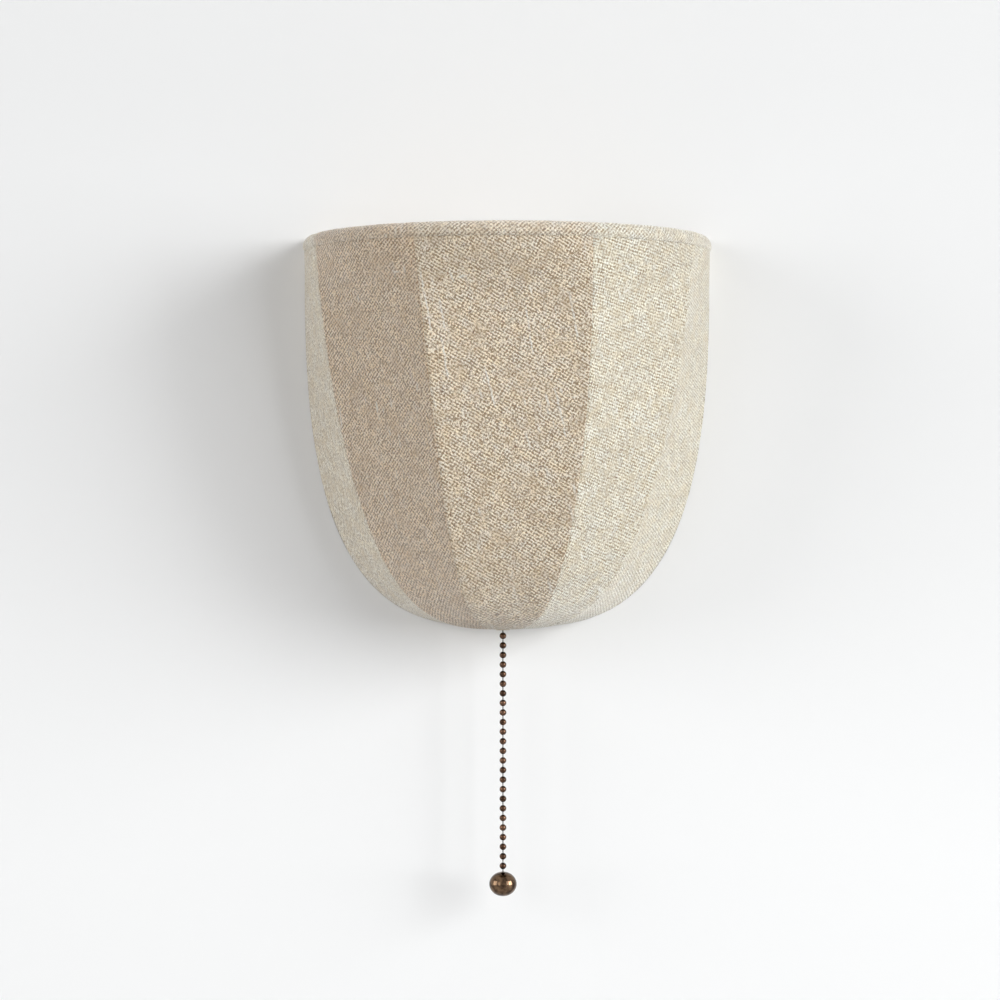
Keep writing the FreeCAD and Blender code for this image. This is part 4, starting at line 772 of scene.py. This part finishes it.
def make_materials():
    """One material for each slot of the record, and those of the scene's own pieces."""
    return {
        "linen": linen("linen"),
        "linen_binding": linen("linen_binding", paler=0.08),
        "frame_wire": moulded("frame_wire", (0.80, 0.79, 0.76), (0.70, 0.69, 0.66), 0.4),
        "bar_steel": metal("bar_steel", (0.62, 0.62, 0.60), (0.42, 0.41, 0.39), 0.38),
        "zinc_steel": metal("zinc_steel", (0.70, 0.71, 0.72), (0.50, 0.50, 0.48), 0.34),
        "spring_steel": metal("spring_steel", (0.55, 0.55, 0.56), (0.35, 0.34, 0.33), 0.25),
        "ground_green_screw": moulded("ground_green_screw", (0.05, 0.30, 0.12), (0.03, 0.20, 0.08), 0.35,
                                      Metallic=0.6),
        "canopy_paint": moulded("canopy_paint", (0.82, 0.81, 0.78), (0.76, 0.75, 0.72), 0.45),
        "brass_plate": metal("brass_plate", (0.80, 0.60, 0.30), (0.52, 0.36, 0.16), 0.28),
        "eyelet_enamel": moulded("eyelet_enamel", (0.60, 0.53, 0.42), (0.52, 0.45, 0.35), 0.45),
        # Strong dark patches on the chain: partly painted reflection of dark surroundings
        "chain_bronze": metal("chain_bronze", (0.13, 0.072, 0.046), (0.015, 0.009, 0.006), 0.07, stain_and_dark_reflection=0.8,
                              lift=0.03 * MM),
        # Strong dark patches on the knob: partly painted reflection of dark surroundings
        "knob_copper": metal("knob_copper", (0.17, 0.108, 0.066), (0.02, 0.012, 0.008), 0.08, grain=230.0,
                             stain_and_dark_reflection=0.85, lift=0.3 * MM, stains=260.0),
        "phenolic": moulded("phenolic", (0.035, 0.025, 0.02), (0.02, 0.016, 0.014), 0.3),
        "ceramic_white": moulded("ceramic_white", (0.86, 0.85, 0.80), (0.80, 0.78, 0.72), 0.2),
        "switch_nylon": moulded("switch_nylon", (0.78, 0.76, 0.70), (0.70, 0.68, 0.61), 0.42),
        "grommet_rubber": moulded("grommet_rubber", (0.03, 0.03, 0.03), (0.05, 0.05, 0.048), 0.7),
        "block_plastic": moulded("block_plastic", (0.80, 0.79, 0.75), (0.72, 0.71, 0.66), 0.4),
        "bulb_cap_metal": metal("bulb_cap_metal", (0.72, 0.71, 0.68), (0.55, 0.53, 0.49), 0.25),
        "bulb_contact_black": moulded("bulb_contact_black", (0.03, 0.028, 0.03), (0.05, 0.045, 0.045), 0.25),
        "bulb_frosted": moulded("bulb_frosted", (0.90, 0.90, 0.87), (0.86, 0.86, 0.82), 0.3),
        "bulb_stem_glass": moulded("bulb_stem_glass", (0.78, 0.80, 0.79), (0.70, 0.73, 0.72), 0.1),
        "lead_black": moulded("lead_black", (0.022, 0.022, 0.024), (0.04, 0.04, 0.04), 0.45),
        "lead_red": moulded("lead_red", (0.42, 0.035, 0.025), (0.30, 0.02, 0.018), 0.45),
        "lead_white": moulded("lead_white", (0.80, 0.80, 0.77), (0.70, 0.70, 0.66), 0.45),
        "lead_green": moulded("lead_green", (0.05, 0.28, 0.09), (0.03, 0.18, 0.06), 0.45),
    }


def dress_nodes():
    """Gives every CAD node the material of its slot, and the eyelet its enamel."""
    slot_of = {part["node"]: part["material_slot"] for part in frame["record"]["subparts"]}
    for name, node in frame["nodes"].items():
        for material_slot in node.material_slots:
            material_slot.material = MATERIALS["eyelet_enamel" if name == "eyelet" else slot_of[name]]


# Room, light and camera

def make_wall_material():
    """Pale matt wall paint, lighter towards the bottom as painted light, that is seen through from behind and
    lets lamps behind it light the back.
    """
    n = Nodes("wall_paint")
    place = n.add("ShaderNodeTexCoord").outputs["Object"]
    skin = n.noise(place, WALL_GRAIN_SCALE, detail=2.0)
    paint = n.add("ShaderNodeBsdfDiffuse")
    height = n.add("ShaderNodeSeparateXYZ")
    n.put(height.inputs[0], place)
    # Painted light: the paint is lighter towards the bottom
    rise = n.range(height.outputs[2], WALL_LOW_Z, WALL_HIGH_Z)
    n.put(paint.inputs[0], n.mix(rise, WALL_LOW_COLOUR, WALL_HIGH_COLOUR))
    n.put(paint.inputs["Normal"], n.bump(skin, WALL_GRAIN, strength=0.1))
    clear = n.add("ShaderNodeBsdfTransparent")
    behind = n.add("ShaderNodeNewGeometry").outputs["Backfacing"]
    shadow = n.add("ShaderNodeLightPath").outputs["Is Shadow Ray"]
    swap = n.add("ShaderNodeMixShader")
    n.put(swap.inputs[0], n.math("MAXIMUM", behind, shadow))
    n.put(swap.inputs[1], paint.outputs[0])
    n.put(swap.inputs[2], clear.outputs[0])
    n.put(n.out.inputs[0], swap.outputs[0])
    return n.material


def make_floor_material():
    """A pale matt floor that sends little light back up."""
    n = Nodes("floor_paint")
    cloud = n.noise(n.add("ShaderNodeTexCoord").outputs["Object"], FLOOR_CLOUD_SCALE)
    bounced = n.add("ShaderNodeLightPath").outputs["Is Diffuse Ray"]
    seen = n.mix(cloud, FLOOR_PALE, FLOOR_DULL)
    return n.surface(Base_Color=n.mix(bounced, seen, FLOOR_BOUNCE), Roughness=0.8)


def make_room():
    side = WALL_WIDTH / 2
    top = FLOOR_Z + WALL_HEIGHT
    wall_corners = [(-side, WALL_BEHIND, FLOOR_Z), (side, WALL_BEHIND, FLOOR_Z),
                    (side, WALL_BEHIND, top), (-side, WALL_BEHIND, top)]
    wall = mesh_object("wall", wall_corners, [(0, 1, 2, 3)], smooth=False)
    wall.data.materials.append(make_wall_material())
    floor_corners = [(-side, -FLOOR_DEPTH, FLOOR_Z), (side, -FLOOR_DEPTH, FLOOR_Z),
                     (side, FLOOR_DEPTH, FLOOR_Z), (-side, FLOOR_DEPTH, FLOOR_Z)]
    floor = mesh_object("floor", floor_corners, [(0, 1, 2, 3)], smooth=False)
    floor.data.materials.append(make_floor_material())


def make_lamp(name, azimuth, elevation, distance, width, height, power, colour):
    """A soft lamp aimed at the shade."""
    data = bpy.data.lights.new(name, "AREA")
    data.shape = "RECTANGLE"
    data.size = width
    data.size_y = height
    data.energy = power
    data.color = colour
    made = bpy.data.objects.new(name, data)
    a, e = math.radians(azimuth), math.radians(elevation)
    towards = Vector((math.sin(a) * math.cos(e), -math.cos(a) * math.cos(e), math.sin(e)))
    made.location = LAMP_TARGET + towards * distance
    made.rotation_mode = "QUATERNION"
    made.rotation_quaternion = towards.to_track_quat("Z", "Y")
    bpy.context.scene.collection.objects.link(made)


def make_world():
    """Faint light from all round but the front, from a world that looks pale where it is seen or mirrored."""
    world = bpy.data.worlds.new("room_light")
    bpy.context.scene.world = world
    world.use_nodes = True
    world.cycles.sampling_method = "NONE"
    tree = world.node_tree
    background = tree.nodes["Background"]
    split = tree.nodes.new("ShaderNodeSeparateXYZ")
    tree.links.new(tree.nodes.new("ShaderNodeTexCoord").outputs["Generated"], split.inputs[0])
    ramp = tree.nodes.new("ShaderNodeMapRange")
    ramp.interpolation_type = "SMOOTHSTEP"
    stops = (WORLD_FRONT_EDGE, WORLD_SIDES_EDGE, WORLD_FRONT, WORLD_SIDES)
    for socket, value in zip(ramp.inputs[1:5], stops):
        socket.default_value = value
    tree.links.new(split.outputs[1], ramp.inputs[0])
    seen = tree.nodes.new("ShaderNodeMix")
    rays = tree.nodes.new("ShaderNodeLightPath")
    shown = rays.outputs["Is Camera Ray"]
    for kind in ("Is Glossy Ray", "Is Transmission Ray"):
        either = tree.nodes.new("ShaderNodeMath")
        either.operation = "MAXIMUM"
        tree.links.new(shown, either.inputs[0])
        tree.links.new(rays.outputs[kind], either.inputs[1])
        shown = either.outputs[0]
    tree.links.new(shown, seen.inputs[0])
    tree.links.new(ramp.outputs[0], seen.inputs[2])
    seen.inputs[3].default_value = WORLD_SEEN
    background.inputs[0].default_value = (*WORLD_COLOUR, 1)
    tree.links.new(seen.outputs[0], background.inputs[1])


def make_lights():
    for name, settings in LAMPS.items():
        make_lamp(name, distance=LAMP_DISTANCE, height=LAMP_HEIGHT, **settings)
    make_lamp("back", distance=BACK_LAMP_DISTANCE, height=BACK_LAMP_HEIGHT, **BACK_LAMP)
    make_world()


def make_camera():
    data = bpy.data.cameras.new("camera")
    data.sensor_width = CAMERA_SENSOR_MM
    data.lens = CAMERA_LENS_MM
    data.clip_start = CAMERA_NEAR
    data.clip_end = CAMERA_FAR
    made = bpy.data.objects.new("camera", data)
    made.location = CAMERA_PLACE
    made.rotation_euler = (math.pi / 2, 0, 0)
    bpy.context.scene.collection.objects.link(made)
    bpy.context.scene.camera = made


bpy.context.scene.view_settings.view_transform = "Standard"
MATERIALS = make_materials()
make_camera()
dress_nodes()
make_gores()
make_binding()
make_chains()
make_knob()
make_room()
make_lights()

bpy.context.view_layer.update()
